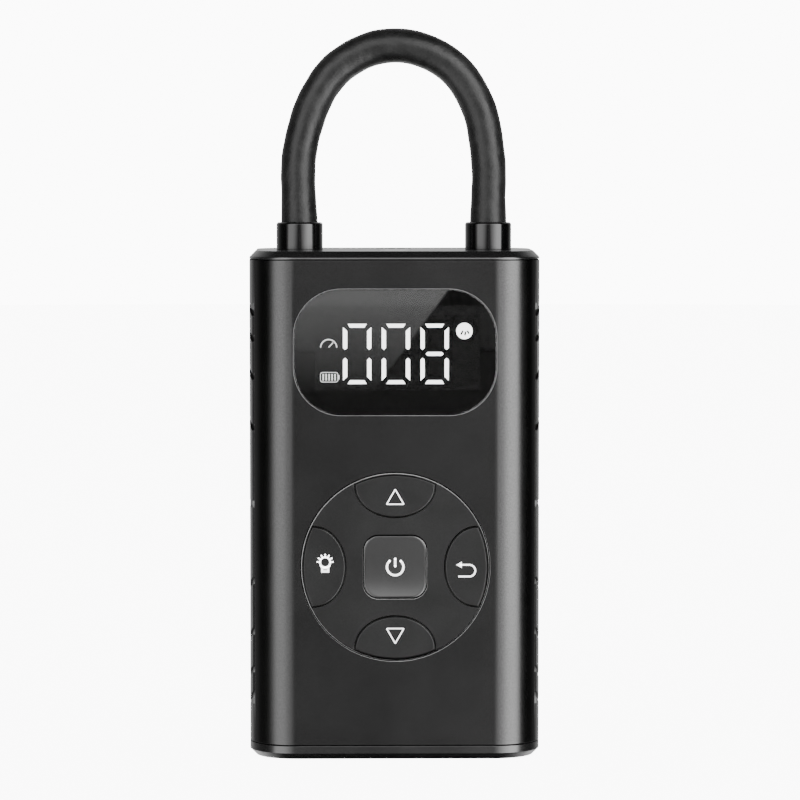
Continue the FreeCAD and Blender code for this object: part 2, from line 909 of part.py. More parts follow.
def outlet_block():
    """Air manifold under the outlet port, with barbs for the tube and the sensor."""
    block = round_z(outlet_block_radius, outlet_block_z, seam_top_z, port_x)
    barb_z = outlet_block_z - air_tube_barb
    barb = round_z(tube_barb_radius, barb_z, outlet_block_z, air_riser_x, air_tube_side)
    pocket_z = outlet_block_z + outlet_pocket_floor
    port_end = -outlet_block_radius + sensor_port_seat
    holes = [
        round_z(nipple_radius, nipple_seat_z, seam_top_z, port_x),
        round_z(outlet_pocket_radius, pocket_z, nipple_seat_z, port_x),
        round_z(tube_barb_radius / 2, barb_z, pocket_z, air_riser_x, air_tube_side),
        round_y(sensor_port_radius, -outlet_block_radius, port_end, port_x, sensor_z),
        round_y(sensor_way_radius, port_end, 0, port_x, sensor_z),
    ]
    return join([block, barb]).cut(holes)


def chuck_body():
    """Brass tyre-valve chuck: threaded mouth below, barb for the hose above."""
    body = round_z(chuck_radius, chuck_bottom_z, top_z, -port_x)
    barb = round_z(barb_radius, top_z, barb_top_z, -port_x)
    plate_top_z = pin_plate_z + pin_plate_thickness
    chamber_top_z = plate_top_z + pin_chamber_height
    chamber_radius = pin_hole_reach + pin_hole_radius
    holes = [
        round_z(chuck_thread_radius, chuck_bottom_z, chuck_seal_z, -port_x),
        round_z(chuck_seal_radius, chuck_seal_z, pin_plate_z, -port_x),
        round_z(pin_plate_radius, pin_plate_z, plate_top_z, -port_x),
        round_z(chamber_radius, plate_top_z, chamber_top_z, -port_x),
        round_z(fitting_bore, chamber_top_z, barb_top_z, -port_x),
    ]
    return join([body, barb]).cut(holes)


def chuck_seal():
    """Washer in its own groove behind the thread."""
    ring = round_z(chuck_seal_radius, chuck_seal_z, pin_plate_z, -port_x)
    return ring.cut(round_z(chuck_seal_bore, chuck_seal_z, pin_plate_z, -port_x))


def valve_pin():
    """Pin that opens the tyre's valve core, on a plate with holes for the air, held down by the seal."""
    plate_top_z = pin_plate_z + pin_plate_thickness
    pin = round_z(valve_pin_radius, chuck_seal_z + valve_pin_sink, pin_plate_z, -port_x)
    plate = round_z(pin_plate_radius, pin_plate_z, plate_top_z, -port_x)
    holes = []
    for index in range(pin_hole_count):
        angle = 2 * math.pi * index / pin_hole_count
        x = -port_x + pin_hole_reach * math.cos(angle)
        y = pin_hole_reach * math.sin(angle)
        holes.append(round_z(pin_hole_radius, pin_plate_z, plate_top_z, x, y))
    return join([pin, plate]).cut(holes)


def storage_socket():
    """Cup under the top cap in which the chuck is parked."""
    inner = chuck_radius + socket_gap
    floor_top = chuck_bottom_z - socket_room
    cup = round_z(inner + socket_wall, floor_top - socket_floor, seam_top_z, -port_x)
    return cup.cut(round_z(inner, floor_top, seam_top_z, -port_x))


# Battery pack

def battery_cells():
    half = cell_length / 2
    return Part.makeCompound([round_x(cell_radius, -half, half, pack_y, z) for z in cell_z])


def battery_holder():
    """Cradle that grips both cells at their ends, with posts for the main board."""
    back = pack_y + holder_half_depth
    front = pack_y - holder_half_depth
    block = box(-holder_half_width, holder_half_width, front, back, cap_floor_z, holder_top_z)
    posts = [round_y(post_radius, board_back_y, front, x, z) for x, z in board_post_places()[:2]]
    open_half = holder_half_width - holder_grip
    window = box(-open_half, open_half, front, back, cell_z[0] - cell_radius, cell_z[-1] + cell_radius)
    holder = join([block.cut(window)] + posts)
    bores = [round_x(cell_radius, -holder_half_width, holder_half_width, pack_y, z) for z in cell_z]
    pilots = []
    for x, z in board_post_places()[:2]:
        pilots.append(round_y(screw_radius, board_back_y, board_y + board_screw_length, x, z))
    for x, y in base_screw_places():
        pilots.append(round_z(screw_radius, cap_floor_z, base_screw_tip_z(), x, y))
    return holder.cut(bores + pilots)


def battery_tabs():
    """Nickel strips welded over the cell ends."""
    reach = cell_length / 2
    half = tab_width / 2
    tabs = []
    for x0 in (-reach - tab_thickness, reach):
        tab = box(x0, x0 + tab_thickness, pack_y - half, pack_y + half,
                  cell_z[0] - half, cell_z[-1] + half)
        tabs.append(tab)
    return Part.makeCompound(tabs)


def base_screw_tip_z():
    return foot_seat + base_screw_head + base_screw_length


def base_screws():
    """Flat-headed screws, sunk in the bottom cap and hidden by the foot pad."""
    screws = []
    for x, y in base_screw_places():
        head = Vector(x, y, foot_seat + base_screw_head)
        screws.append(screw(Vector(x, y, base_screw_tip_z()), head, -Z_AXIS, base_screw_head))
    return Part.makeCompound(screws)


# Pump frame, motor and gears

def pump_screw_places():
    reach = pump_square / 2 - screw_inset
    return [(pump_x + x, pump_y + y) for x in (-reach, reach) for y in (-reach, reach)]


def motor_screw_places():
    return [(pump_y - motor_screw_reach, motor_z), (pump_y + motor_screw_reach, motor_z)]


def pump_frame():
    """Moulded bracket: base, upright plate for the motor, shelf for the cylinder, arms for the board."""
    y0 = pump_y - frame_half_depth
    y1 = pump_y + frame_half_depth
    top = bridge_z + bridge_height
    base = box(-holder_half_width, holder_half_width, y0, y1, holder_top_z, frame_base_z)
    plate = box(plate_left_x, plate_right_x, y0, y1, frame_base_z, top)
    shelf = box(plate_right_x, pump_side_x, y0, y1, shelf_z, shelf_top_z)
    bridge = box(-post_x - post_radius, plate_left_x, y0, y0 + bridge_depth, bridge_z, top)
    (left_x, left_z), (right_x, right_z) = board_post_places()[2:]
    half = bridge_height / 2
    left_arm = box(left_x - post_radius, left_x + post_radius, board_back_y, y0,
                   left_z - half, left_z + half)
    right_arm = box(right_x - post_radius, right_x + post_radius, board_back_y, y0,
                    right_z - half, right_z + half)
    frame = join([base, plate, shelf, bridge, left_arm, right_arm])
    holes = [
        round_x(motor_boss_radius, plate_left_x, plate_right_x, pump_y, motor_z),
        round_x(axle_radius, plate_left_x, plate_right_x, pump_y, crank_z),
        round_z(bore_radius + cylinder_wall, shelf_z, shelf_top_z, pump_x, pump_y),
    ]
    for y, z in motor_screw_places():
        holes.append(round_x(screw_radius, plate_left_x, plate_right_x, y, z))
    for x, y in pump_screw_places():
        holes.append(round_z(screw_radius, shelf_z, shelf_top_z, x, y))
    for x, z in ((left_x, left_z), (right_x, right_z)):
        holes.append(round_y(screw_radius, board_back_y, board_y + board_screw_length, x, z))
    return frame.cut(holes)


def motor_can():
    """Drawn steel can with a nose that centres it in the frame."""
    x1 = plate_left_x
    x0 = x1 - motor_length
    can = round_x(motor_radius, x0, x1, pump_y, motor_z)
    nose = round_x(motor_boss_radius, x1, x1 + motor_boss_length, pump_y, motor_z)
    room = round_x(motor_radius - motor_wall, x0, x1 - motor_wall, pump_y, motor_z)
    shaft_way = round_x(shaft_radius + running_clearance, x1 - motor_wall, x1 + motor_boss_length,
                        pump_y, motor_z)
    holes = [room, shaft_way]
    for y, z in motor_screw_places():
        holes.append(round_x(screw_radius, x1 - motor_wall, x1, y, z))
    return join([can, nose]).cut(holes)


def motor_end_cap():
    x0 = plate_left_x - motor_length
    cap = round_x(motor_radius - motor_wall, x0, x0 + motor_cap, pump_y, motor_z)
    return cap.cut(round_x(shaft_radius + running_clearance, x0, x0 + motor_cap, pump_y, motor_z))


def motor_inside_x():
    return plate_left_x - motor_length + motor_cap, plate_left_x - motor_wall


def motor_magnets():
    """Two curved magnets bonded inside the can."""
    left, right = motor_inside_x()
    x0 = (left + right - magnet_length) / 2
    outer = motor_radius - motor_wall
    magnets = []
    for start in (90 - magnet_span / 2, 270 - magnet_span / 2):
        arc = Part.makeCylinder(outer, magnet_length, Vector(x0, pump_y, motor_z), X_AXIS, magnet_span)
        arc = arc.cut(round_x(outer - magnet_thickness, x0, x0 + magnet_length, pump_y, motor_z))
        arc.rotate(Vector(0, pump_y, motor_z), X_AXIS, start)
        magnets.append(arc)
    return Part.makeCompound(magnets)


def motor_rotor():
    """Slotted armature on its shaft."""
    left, right = motor_inside_x()
    x0 = (left + right - magnet_length) / 2
    core = round_x(armature_radius, x0, x0 + magnet_length, pump_y, motor_z)
    slots = []
    for index in range(armature_slots):
        slot = box(x0, x0 + magnet_length,
                   pump_y - armature_slot_width / 2, pump_y + armature_slot_width / 2,
                   motor_z + armature_radius - armature_slot_depth, motor_z + motor_radius)
        slot.rotate(Vector(0, pump_y, motor_z), X_AXIS, index * 360.0 / armature_slots)
        slots.append(slot)
    core = core.cut(slots)
    shaft = round_x(shaft_radius, left - motor_cap, gear_right_x, pump_y, motor_z)
    return join([core, shaft])


def tooth_wheel(teeth, x0, x1, y, z, tooth_up):
    """Spur gear with straight-flanked teeth. tooth_up puts a tooth, and not a gap, at the top."""
    pitch = gear_module * teeth / 2
    tip = pitch + gear_module
    root_depth = gear_root_depth * gear_module
    root = pitch - root_depth
    step = 2 * math.pi / teeth
    half_pitch_tooth = step / 4 - gear_backlash / (2 * pitch)
    slope = math.tan(math.radians(pressure_angle))
    half_tip_tooth = half_pitch_tooth - gear_module * slope / pitch
    half_root_tooth = half_pitch_tooth + root_depth * slope / pitch
    phase = 0.0 if tooth_up else step / 2
    tooth = [(-half_root_tooth, root), (-half_tip_tooth, tip), (half_tip_tooth, tip),
             (half_root_tooth, root)]
    points = []
    for index in range(teeth):
        middle = phase + index * step
        for offset, radius in tooth:
            angle = middle + offset
            points.append(Vector(x0, y + radius * math.sin(angle), z + radius * math.cos(angle)))
    return Part.Face(Part.makePolygon(points + points[:1])).extrude(Vector(x1 - x0, 0, 0))


def pinion():
    """Brass pinion pressed on the motor shaft."""
    wheel = tooth_wheel(pinion_teeth, gear_left_x, gear_right_x, pump_y, motor_z, True)
    return wheel.cut(round_x(shaft_radius, gear_left_x, gear_right_x, pump_y, motor_z))


def crank_gear():
    """Reduction gear that is also the crank. It stands with its pin at the bottom of the turn."""
    wheel = tooth_wheel(gear_teeth, gear_left_x, gear_right_x, pump_y, crank_z, True)
    hub = round_x(gear_hub_radius, plate_right_x + running_clearance, gear_left_x, pump_y, crank_z)
    holes = [
        round_x(axle_radius + running_clearance, plate_right_x, gear_right_x, pump_y, crank_z),
        round_x(crank_pin_radius, gear_left_x, gear_right_x, pump_y, crank_pin_z),
    ]
    for index in range(gear_hole_count):
        angle = 2 * math.pi * index / gear_hole_count
        y = pump_y + gear_hole_reach * math.sin(angle)
        z = crank_z + gear_hole_reach * math.cos(angle)
        holes.append(round_x(gear_hole_radius, gear_left_x, gear_right_x, y, z))
    return join([wheel, hub]).cut(holes)


def crank_pin():
    return round_x(crank_pin_radius, gear_left_x, crank_pin_end_x, pump_y, crank_pin_z)


def crank_axle():
    """Headed axle, pressed in the frame, on which the gear turns."""
    head_x = gear_right_x + running_clearance
    axle = round_x(axle_radius, plate_left_x, head_x, pump_y, crank_z)
    return join([axle, round_x(axle_head_radius, head_x, head_x + axle_head_length, pump_y, crank_z)])


# Piston, cylinder and head

def connecting_rod():
    """Rod from the crank pin's eye to the wrist pin."""
    x0 = rod_left_x
    x1 = x0 + rod_thickness
    half = rod_shank_width / 2
    big_eye = round_x(rod_eye_radius, x0, x1, pump_y, crank_pin_z)
    small_eye = round_x(rod_small_eye_radius, x0, x1, pump_y, wrist_z)
    shank = box(x0, x1, pump_y - half, pump_y + half, crank_pin_z, wrist_z)
    rod = join([big_eye, small_eye, shank])
    return rod.cut([
        round_x(crank_pin_radius + running_clearance, x0, x1, pump_y, crank_pin_z),
        round_x(wrist_pin_radius, x0, x1, pump_y, wrist_z),
    ])


def wrist_pin():
    return round_x(wrist_pin_radius, pump_x - piston_radius + piston_skirt / 2,
                   pump_x + piston_radius - piston_skirt / 2, pump_y, wrist_z)


def piston():
    """Cup piston: crown, skirt and a groove for the seal."""
    body = round_z(piston_radius, piston_bottom_z, crown_z, pump_x, pump_y)
    hollow = round_z(piston_radius - piston_skirt, piston_bottom_z, crown_z - piston_crown, pump_x, pump_y)
    z0 = seal_top_z - seal_height
    groove = round_z(piston_radius, z0, seal_top_z, pump_x, pump_y)
    groove = groove.cut(round_z(piston_radius - seal_depth, z0, seal_top_z, pump_x, pump_y))
    return body.cut([hollow, groove, wrist_pin()])


def piston_seal():
    z0 = seal_top_z - seal_height
    ring = round_z(bore_radius - running_clearance, z0, seal_top_z, pump_x, pump_y)
    return ring.cut(round_z(piston_radius - seal_depth, z0, seal_top_z, pump_x, pump_y))


def pump_slab(z0, z1):
    """Square flange with the four screw holes."""
    plate = slab(pump_square, pump_square, pump_square_radius, z0, z1, pump_x, pump_y)
    for x, y in pump_screw_places():
        plate = plate.cut(round_z(screw_radius, z0, z1, x, y))
    return plate


def cylinder():
    barrel = round_z(bore_radius + cylinder_wall, shelf_z, cylinder_top_z, pump_x, pump_y)
    flange = pump_slab(shelf_top_z, shelf_top_z + cylinder_flange)
    bore = round_z(bore_radius, shelf_z, cylinder_top_z, pump_x, pump_y)
    return join([barrel, flange]).cut(bore)


def head_gasket():
    ring = round_z(bore_radius + cylinder_wall, cylinder_top_z, head_z, pump_x, pump_y)
    return ring.cut(round_z(bore_radius, cylinder_top_z, head_z, pump_x, pump_y))


def cylinder_head():
    """Head with the outlet valve's chamber and a barb for the air tube."""
    head = pump_slab(head_z, head_top_z)
    barb_end_x = pump_side_x + air_tube_barb
    barb = round_x(tube_barb_radius, pump_side_x, barb_end_x, air_tube_side, air_outlet_z)
    chamber_top_z = valve_chamber_z + valve_chamber_height
    holes = [
        round_z(valve_chamber_radius, valve_chamber_z, chamber_top_z, pump_x, pump_y),
        round_z(valve_port_radius, head_z, valve_chamber_z, pump_x, pump_y),
        round_x(tube_barb_radius / 2, pump_x, barb_end_x, air_tube_side, air_outlet_z),
    ]
    return join([head, barb]).cut(holes)


def outlet_valve():
    return round_z(valve_radius, valve_chamber_z, valve_chamber_z + valve_thickness, pump_x, pump_y)


def valve_spring():
    """Light spring over the valve, drawn as its sleeve."""
    z0 = valve_chamber_z + valve_thickness
    z1 = valve_chamber_z + valve_chamber_height
    sleeve = round_z(valve_spring_radius, z0, z1, pump_x, pump_y)
    return sleeve.cut(round_z(valve_spring_radius - valve_spring_wire, z0, z1, pump_x, pump_y))


def pump_screws():
    screws = []
    for x, y in pump_screw_places():
        screws.append(screw(Vector(x, y, shelf_z), Vector(x, y, head_top_z), Z_AXIS))
    return Part.makeCompound(screws)


def motor_screws():
    screws = []
    for y, z in motor_screw_places():
        head = Vector(plate_right_x, y, z)
        screws.append(screw(head - X_AXIS * (frame_plate + motor_wall), head, X_AXIS))
    return Part.makeCompound(screws)


def air_tube():
    """Silicone tube from the head up to the outlet block."""
    points = [
        Vector(pump_side_x, air_tube_side, air_outlet_z),
        Vector(air_riser_x, air_tube_side, air_outlet_z),
        Vector(air_riser_x, air_tube_side, outlet_block_z),
    ]
    return bent_tube(points, [air_tube_bend], air_tube_radius, air_tube_bore)[0]


def pressure_sensor():
    """Sensor on the main board, its port plugged into the outlet block."""
    half = sensor_size / 2
    y1 = board_back_y + sensor_height
    port_end = -outlet_block_radius + sensor_port_seat
    body = box(port_x - half, port_x + half, board_back_y, y1, sensor_z - half, sensor_z + half)
    return join([body, round_y(sensor_port_radius, y1, port_end, port_x, sensor_z)])


parts = {
    "housing_sleeve": housing_sleeve(),
    "top_cap": top_cap(),
    "bottom_cap": bottom_cap(),
    "foot_pad": foot_pad(),
    "display_window": display_window(),
    "display_mask": display_mask(),
    "display_module": display_module(),
    "display_segments": display_segments(),
    "keypad_plate": keypad_plate(),
    "power_button": power_button(),
    "up_button": side_key(0),
    "back_button": side_key(90),
    "down_button": side_key(180),
    "light_button": side_key(270),
    "keypad_membrane": keypad_membrane(),
    "tact_switches": tact_switches(),
    "main_board": main_board(),
    "board_components": board_components(),
    "board_screws": board_screws(),
    "usb_board": usb_board(),
    "usb_board_screws": top_board_screws(),
    "usb_socket": usb_socket(),
    "work_light_lens": work_light_lens(),
    "work_light_led": work_light_led(),
    "hose": hose(),
    "outlet_collar": end_collar(port_x),
    "outlet_nipple": outlet_nipple(),
    "outlet_seal": outlet_seal(),
    "outlet_block": outlet_block(),
    "chuck_collar": end_collar(-port_x),
    "chuck_body": chuck_body(),
    "chuck_seal": chuck_seal(),
    "valve_pin": valve_pin(),
    "storage_socket": storage_socket(),
    "battery_cells": battery_cells(),
    "battery_holder": battery_holder(),
    "battery_tabs": battery_tabs(),
    "base_screws": base_screws(),
    "pump_frame": pump_frame(),
    "motor_can": motor_can(),
    "motor_end_cap": motor_end_cap(),
    "motor_magnets": motor_magnets(),
    "motor_rotor": motor_rotor(),
    "motor_screws": motor_screws(),
    "pinion": pinion(),
    "crank_gear": crank_gear(),
    "crank_pin": crank_pin(),
    "crank_axle": crank_axle(),
    "connecting_rod": connecting_rod(),
    "wrist_pin": wrist_pin(),
    "piston": piston(),
    "piston_seal": piston_seal(),
    "cylinder": cylinder(),
    "head_gasket": head_gasket(),
    "cylinder_head": cylinder_head(),
    "outlet_valve": outlet_valve(),
    "valve_spring": valve_spring(),
    "pump_screws": pump_screws(),
    "air_tube": air_tube(),
    "pressure_sensor": pressure_sensor(),
}

os.makedirs("parts", exist_ok=True)
for name, shape in parts.items():
    if not shape.isValid():
        print("not valid:", name)
    shape.exportStep(os.path.join("parts", name + ".step"))
print("parts written:", len(parts))
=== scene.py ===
"""Looks of the portable tyre inflator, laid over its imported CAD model. Metres, front towards -Y."""
import bpy
import json
import math
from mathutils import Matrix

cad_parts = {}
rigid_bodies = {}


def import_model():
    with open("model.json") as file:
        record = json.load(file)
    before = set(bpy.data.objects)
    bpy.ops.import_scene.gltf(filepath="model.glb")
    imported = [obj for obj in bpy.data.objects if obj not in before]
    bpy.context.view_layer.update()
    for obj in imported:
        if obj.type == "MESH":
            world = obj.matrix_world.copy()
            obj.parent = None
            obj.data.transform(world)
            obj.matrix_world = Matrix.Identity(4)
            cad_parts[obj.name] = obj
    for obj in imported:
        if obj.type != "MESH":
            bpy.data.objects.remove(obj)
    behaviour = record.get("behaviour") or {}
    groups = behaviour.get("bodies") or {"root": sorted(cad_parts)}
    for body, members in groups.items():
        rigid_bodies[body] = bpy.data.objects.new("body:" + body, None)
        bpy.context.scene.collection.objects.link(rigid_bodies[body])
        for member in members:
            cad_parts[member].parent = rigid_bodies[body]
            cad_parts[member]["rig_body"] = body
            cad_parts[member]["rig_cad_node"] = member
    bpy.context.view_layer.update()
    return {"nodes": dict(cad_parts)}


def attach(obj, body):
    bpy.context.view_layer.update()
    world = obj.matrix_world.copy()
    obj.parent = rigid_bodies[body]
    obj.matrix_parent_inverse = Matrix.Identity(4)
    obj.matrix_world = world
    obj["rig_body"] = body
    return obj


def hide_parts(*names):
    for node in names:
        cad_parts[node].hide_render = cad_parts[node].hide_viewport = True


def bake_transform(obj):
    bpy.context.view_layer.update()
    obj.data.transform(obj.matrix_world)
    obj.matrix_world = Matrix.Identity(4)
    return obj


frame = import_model()
bpy.ops.object.select_all(action="DESELECT")

# Studio camera
# A long lens stands a metre before the front, a little above the top of the casing. It looks down
# by a few degrees and to the right by one, as the photograph was taken.
bpy.ops.object.camera_add(location=(-0.0134, -0.96115, 0.1459),
                          rotation=(math.radians(86.474), 0, math.radians(-0.889)))
camera = bpy.context.active_object
camera.name = "studio_camera"
camera.data.sensor_width = 36.0
camera.data.lens = 174.8
camera.data.clip_start = 0.01
camera.data.clip_end = 20.0
bpy.context.scene.camera = camera


# Casing sleeve
# An extruded aluminium tube, blasted and anodised in a satin black with a fine sparkle. The seats
# of the window and the round keypad are milled in its front, and both sides have tread grooves.
def pick(piece):
    """Only this piece selected, and active."""
    bpy.ops.object.select_all(action="DESELECT")
    piece.select_set(True)
    bpy.context.view_layer.objects.active = piece
    return piece


def new_effect(name, inputs, outputs):
    """Empty shader group with its sockets, and its input and output nodes."""
    tree = bpy.data.node_groups.new(name, "ShaderNodeTree")
    for label, kind, value in inputs:
        socket = tree.interface.new_socket(label, in_out="INPUT", socket_type=kind)
        if value is not None:
            socket.default_value = value
    for label, kind in outputs:
        tree.interface.new_socket(label, in_out="OUTPUT", socket_type=kind)
    return tree, tree.nodes.new("NodeGroupInput"), tree.nodes.new("NodeGroupOutput")


def grain_effect():
    """Fine even grain: a tone from 0 to 1 and a height in metres."""
    tree, entry, out = new_effect(
        "fine_grain",
        [("Vector", "NodeSocketVector", None), ("Per Metre", "NodeSocketFloat", 3000.0),
         ("Depth", "NodeSocketFloat", 0.00001)],
        [("Tone", "NodeSocketFloat"), ("Height", "NodeSocketFloat")])
    noise = tree.nodes.new("ShaderNodeTexNoise")
    noise.inputs["Detail"].default_value = 2.0
    noise.inputs["Roughness"].default_value = 0.6
    spread = tree.nodes.new("ShaderNodeMapRange")
    spread.inputs["From Min"].default_value = 0.3
    spread.inputs["From Max"].default_value = 0.7
    height = tree.nodes.new("ShaderNodeMath")
    height.operation = "MULTIPLY"
    tree.links.new(entry.outputs["Vector"], noise.inputs["Vector"])
    tree.links.new(entry.outputs["Per Metre"], noise.inputs["Scale"])
    tree.links.new(noise.outputs["Fac"], spread.inputs["Value"])
    tree.links.new(spread.outputs["Result"], out.inputs["Tone"])
    tree.links.new(spread.outputs["Result"], height.inputs[0])
    tree.links.new(entry.outputs["Depth"], height.inputs[1])
    tree.links.new(height.outputs[0], out.inputs["Height"])
    return tree


def handling_effect():
    """Broad soft patches left by handling and polishing: a mask from 0 to 1."""
    tree, entry, out = new_effect(
        "handling_patches",
        [("Vector", "NodeSocketVector", None), ("Per Metre", "NodeSocketFloat", 60.0)],
        [("Mask", "NodeSocketFloat")])
    noise = tree.nodes.new("ShaderNodeTexNoise")
    noise.inputs["Detail"].default_value = 4.0
    noise.inputs["Roughness"].default_value = 0.55
    noise.inputs["Distortion"].default_value = 0.4
    spread = tree.nodes.new("ShaderNodeMapRange")
    spread.inputs["From Min"].default_value = 0.35
    spread.inputs["From Max"].default_value = 0.65
    tree.links.new(entry.outputs["Vector"], noise.inputs["Vector"])
    tree.links.new(entry.outputs["Per Metre"], noise.inputs["Scale"])
    tree.links.new(noise.outputs["Fac"], spread.inputs["Value"])
    tree.links.new(spread.outputs["Result"], out.inputs["Mask"])
    return tree


fine_grain = grain_effect()
handling_patches = handling_effect()


def surface(name, deep, bright, rough, per_metre=3000.0, depth=0.00001, metal=0.0, patches=60.0,
            stretch=(1.0, 1.0, 1.0), constants=None):
    """Material with grain in its colour and relief and soft patches in its gloss. Constants are the
    shader's values that stay the same all over the piece."""
    material = bpy.data.materials.new(name)
    material.use_nodes = True
    nodes = material.node_tree.nodes
    links = material.node_tree.links
    shader = nodes["Principled BSDF"]
    place = nodes.new("ShaderNodeTexCoord")
    turn = nodes.new("ShaderNodeMapping")
    turn.inputs["Scale"].default_value = stretch
    grain = nodes.new("ShaderNodeGroup")
    grain.node_tree = fine_grain
    grain.inputs["Per Metre"].default_value = per_metre
    grain.inputs["Depth"].default_value = depth
    marks = nodes.new("ShaderNodeGroup")
    marks.node_tree = handling_patches
    marks.inputs["Per Metre"].default_value = patches
    tint = nodes.new("ShaderNodeMix")
    tint.data_type = "RGBA"
    tint.inputs["A"].default_value = (*deep, 1.0)
    tint.inputs["B"].default_value = (*bright, 1.0)
    gloss = nodes.new("ShaderNodeMapRange")
    gloss.inputs["To Min"].default_value = rough[0]
    gloss.inputs["To Max"].default_value = rough[1]
    relief = nodes.new("ShaderNodeBump")
    relief.inputs["Strength"].default_value = 1.0
    relief.inputs["Distance"].default_value = 1.0
    links.new(place.outputs["Object"], turn.inputs["Vector"])
    links.new(turn.outputs["Vector"], grain.inputs["Vector"])
    links.new(place.outputs["Object"], marks.inputs["Vector"])
    links.new(grain.outputs["Tone"], tint.inputs["Factor"])
    links.new(tint.outputs["Result"], shader.inputs["Base Color"])
    links.new(marks.outputs["Mask"], gloss.inputs["Value"])
    links.new(gloss.outputs["Result"], shader.inputs["Roughness"])
    links.new(grain.outputs["Height"], relief.inputs["Height"])
    links.new(relief.outputs["Normal"], shader.inputs["Normal"])
    shader.inputs["Metallic"].default_value = metal
    for label, value in (constants or {}).items():
        shader.inputs[label].default_value = value
    return material


def grey(value):
    return (value, value, value)


def dress(piece, material):
    """The material as the piece's only one."""
    piece.data.materials.clear()
    piece.data.materials.append(material)
    return piece


def dress_nodes(material, *names):
    for name in names:
        dress(frame["nodes"][name], material)


def shell_from(node, name):
    """Copy of a CAD node as one closed mesh with flat faces made whole."""
    pick(frame["nodes"][node])
    bpy.ops.object.duplicate()
    piece = bpy.context.active_object
    bpy.ops.object.parent_clear(type="CLEAR_KEEP_TRANSFORM")
    del piece["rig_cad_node"]
    del piece["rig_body"]
    piece.name = name
    bpy.ops.object.mode_set(mode="EDIT")
    bpy.ops.mesh.select_all(action="SELECT")
    bpy.ops.mesh.customdata_custom_splitnormals_clear()
    bpy.ops.mesh.remove_doubles(threshold=0.000002)
    bpy.ops.mesh.dissolve_limited(angle_limit=math.radians(0.02))
    bpy.ops.object.mode_set(mode="OBJECT")
    return piece


def soften(piece, width, segments=2, angle=32.0):
    """Small rounding on every sharp edge, then smooth shading over the rounded faces."""
    pick(piece)
    bpy.ops.object.modifier_add(type="BEVEL")
    rounding = piece.modifiers[-1]
    rounding.width = width
    rounding.segments = segments
    rounding.limit_method = "ANGLE"
    rounding.angle_limit = math.radians(angle)
    rounding.use_clamp_overlap = True
    bpy.ops.object.modifier_apply(modifier=rounding.name)
    bpy.ops.object.shade_smooth_by_angle(angle=math.radians(35))
    bpy.ops.object.modifier_add(type="WEIGHTED_NORMAL")
    flats = piece.modifiers[-1]
    flats.weight = 100
    flats.keep_sharp = True
    bpy.ops.object.modifier_apply(modifier=flats.name)
    return piece


casing_black = surface("casing_black", grey(0.052), grey(0.068), (0.235, 0.26),
                       per_metre=3400.0, depth=0.0000035, metal=1.0)
sleeve = dress(soften(shell_from("housing_sleeve", "sleeve_shell"), 0.00012), casing_black)
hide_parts("housing_sleeve")
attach(sleeve, "casing")


# End caps
# Two lids moulded in black glass-filled nylon, polished more than the sleeve. Their lips plug into
# the sleeve's ends, and a fine shadow groove runs round between each flange and the sleeve. The
# groove's faces carry a near-black, glossless material: painted shade.
cap_black = surface("cap_black", grey(0.010), grey(0.016), (0.20, 0.26),
                    per_metre=2200.0, depth=0.000002,
                    constants={"Specular IOR Level": 0.9})
# Near-black and without gloss: painted shade for the seam grooves and the dark rings round the keys.
painted_gap_shade = surface("painted_gap_shade", grey(0.0012), grey(0.0022), (0.6, 0.7),
                    constants={"Specular IOR Level": 0.0})


def round_ring(piece, height, width):
    """Rounding on the edges that run level at this height."""
    pick(piece)
    bpy.ops.object.mode_set(mode="EDIT")
    bpy.ops.mesh.select_mode(type="EDGE")
    bpy.ops.mesh.select_all(action="DESELECT")
    bpy.ops.object.mode_set(mode="OBJECT")
    corners = piece.data.vertices
    for edge in piece.data.edges:
        edge.select = all(abs(corners[index].co.z - height) < 0.00001 for index in edge.vertices)
    bpy.ops.object.mode_set(mode="EDIT")
    bpy.ops.mesh.bevel(offset=width, segments=4, affect="EDGES")
    bpy.ops.object.mode_set(mode="OBJECT")
    return piece


seam_reach = 0.00009
for node, name, height, width, seam in (("top_cap", "top_lid", 0.12245, 0.0003, 0.121925),
                                        ("bottom_cap", "bottom_lid", 0.00365, 0.00015, 0.003775)):
    lid = round_ring(shell_from(node, name), height, width)
    dress(soften(lid, 0.00005), cap_black)
    # The seam groove's faces take the painted shade.
    lid.data.materials.append(painted_gap_shade)
    for face in lid.data.polygons:
        if abs(face.center.z - seam) < seam_reach:
            face.material_index = 1
    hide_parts(node)
    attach(lid, "casing")


# Foot pad
# A sheet of black rubber glued into the bottom lid, a third of a millimetre proud, so that the
# inflator doesn't slide on a bench.
rubber_black = surface("rubber_black", grey(0.008), grey(0.016), (0.62, 0.78),
                       per_metre=1500.0, depth=0.00002)
pad = dress(soften(shell_from("foot_pad", "foot_sheet"), 0.0001), rubber_black)
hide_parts("foot_pad")
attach(pad, "casing")


# Display window
# A smoked acrylic lens with a polished edge, glued flush into its seat over a black printed mask. A
# thin bright ring laid round the seat's edge is a painted highlight.
def rounded_plate(name, width, height, radius, x, y, z, steps=12):
    """Flat face with round corners, facing the front."""
    bpy.ops.mesh.primitive_plane_add(size=1.0, location=(x, y, z), rotation=(math.pi / 2, 0, 0))
    piece = bpy.context.active_object
    piece.name = name
    bpy.ops.object.mode_set(mode="EDIT")
    bpy.ops.mesh.select_all(action="SELECT")
    bpy.ops.transform.resize(value=(width, 1.0, height))
    bpy.ops.mesh.bevel(offset=radius, segments=steps, affect="VERTICES")
    bpy.ops.object.mode_set(mode="OBJECT")
    bpy.ops.object.transform_apply(location=True, rotation=True, scale=True)
    return piece


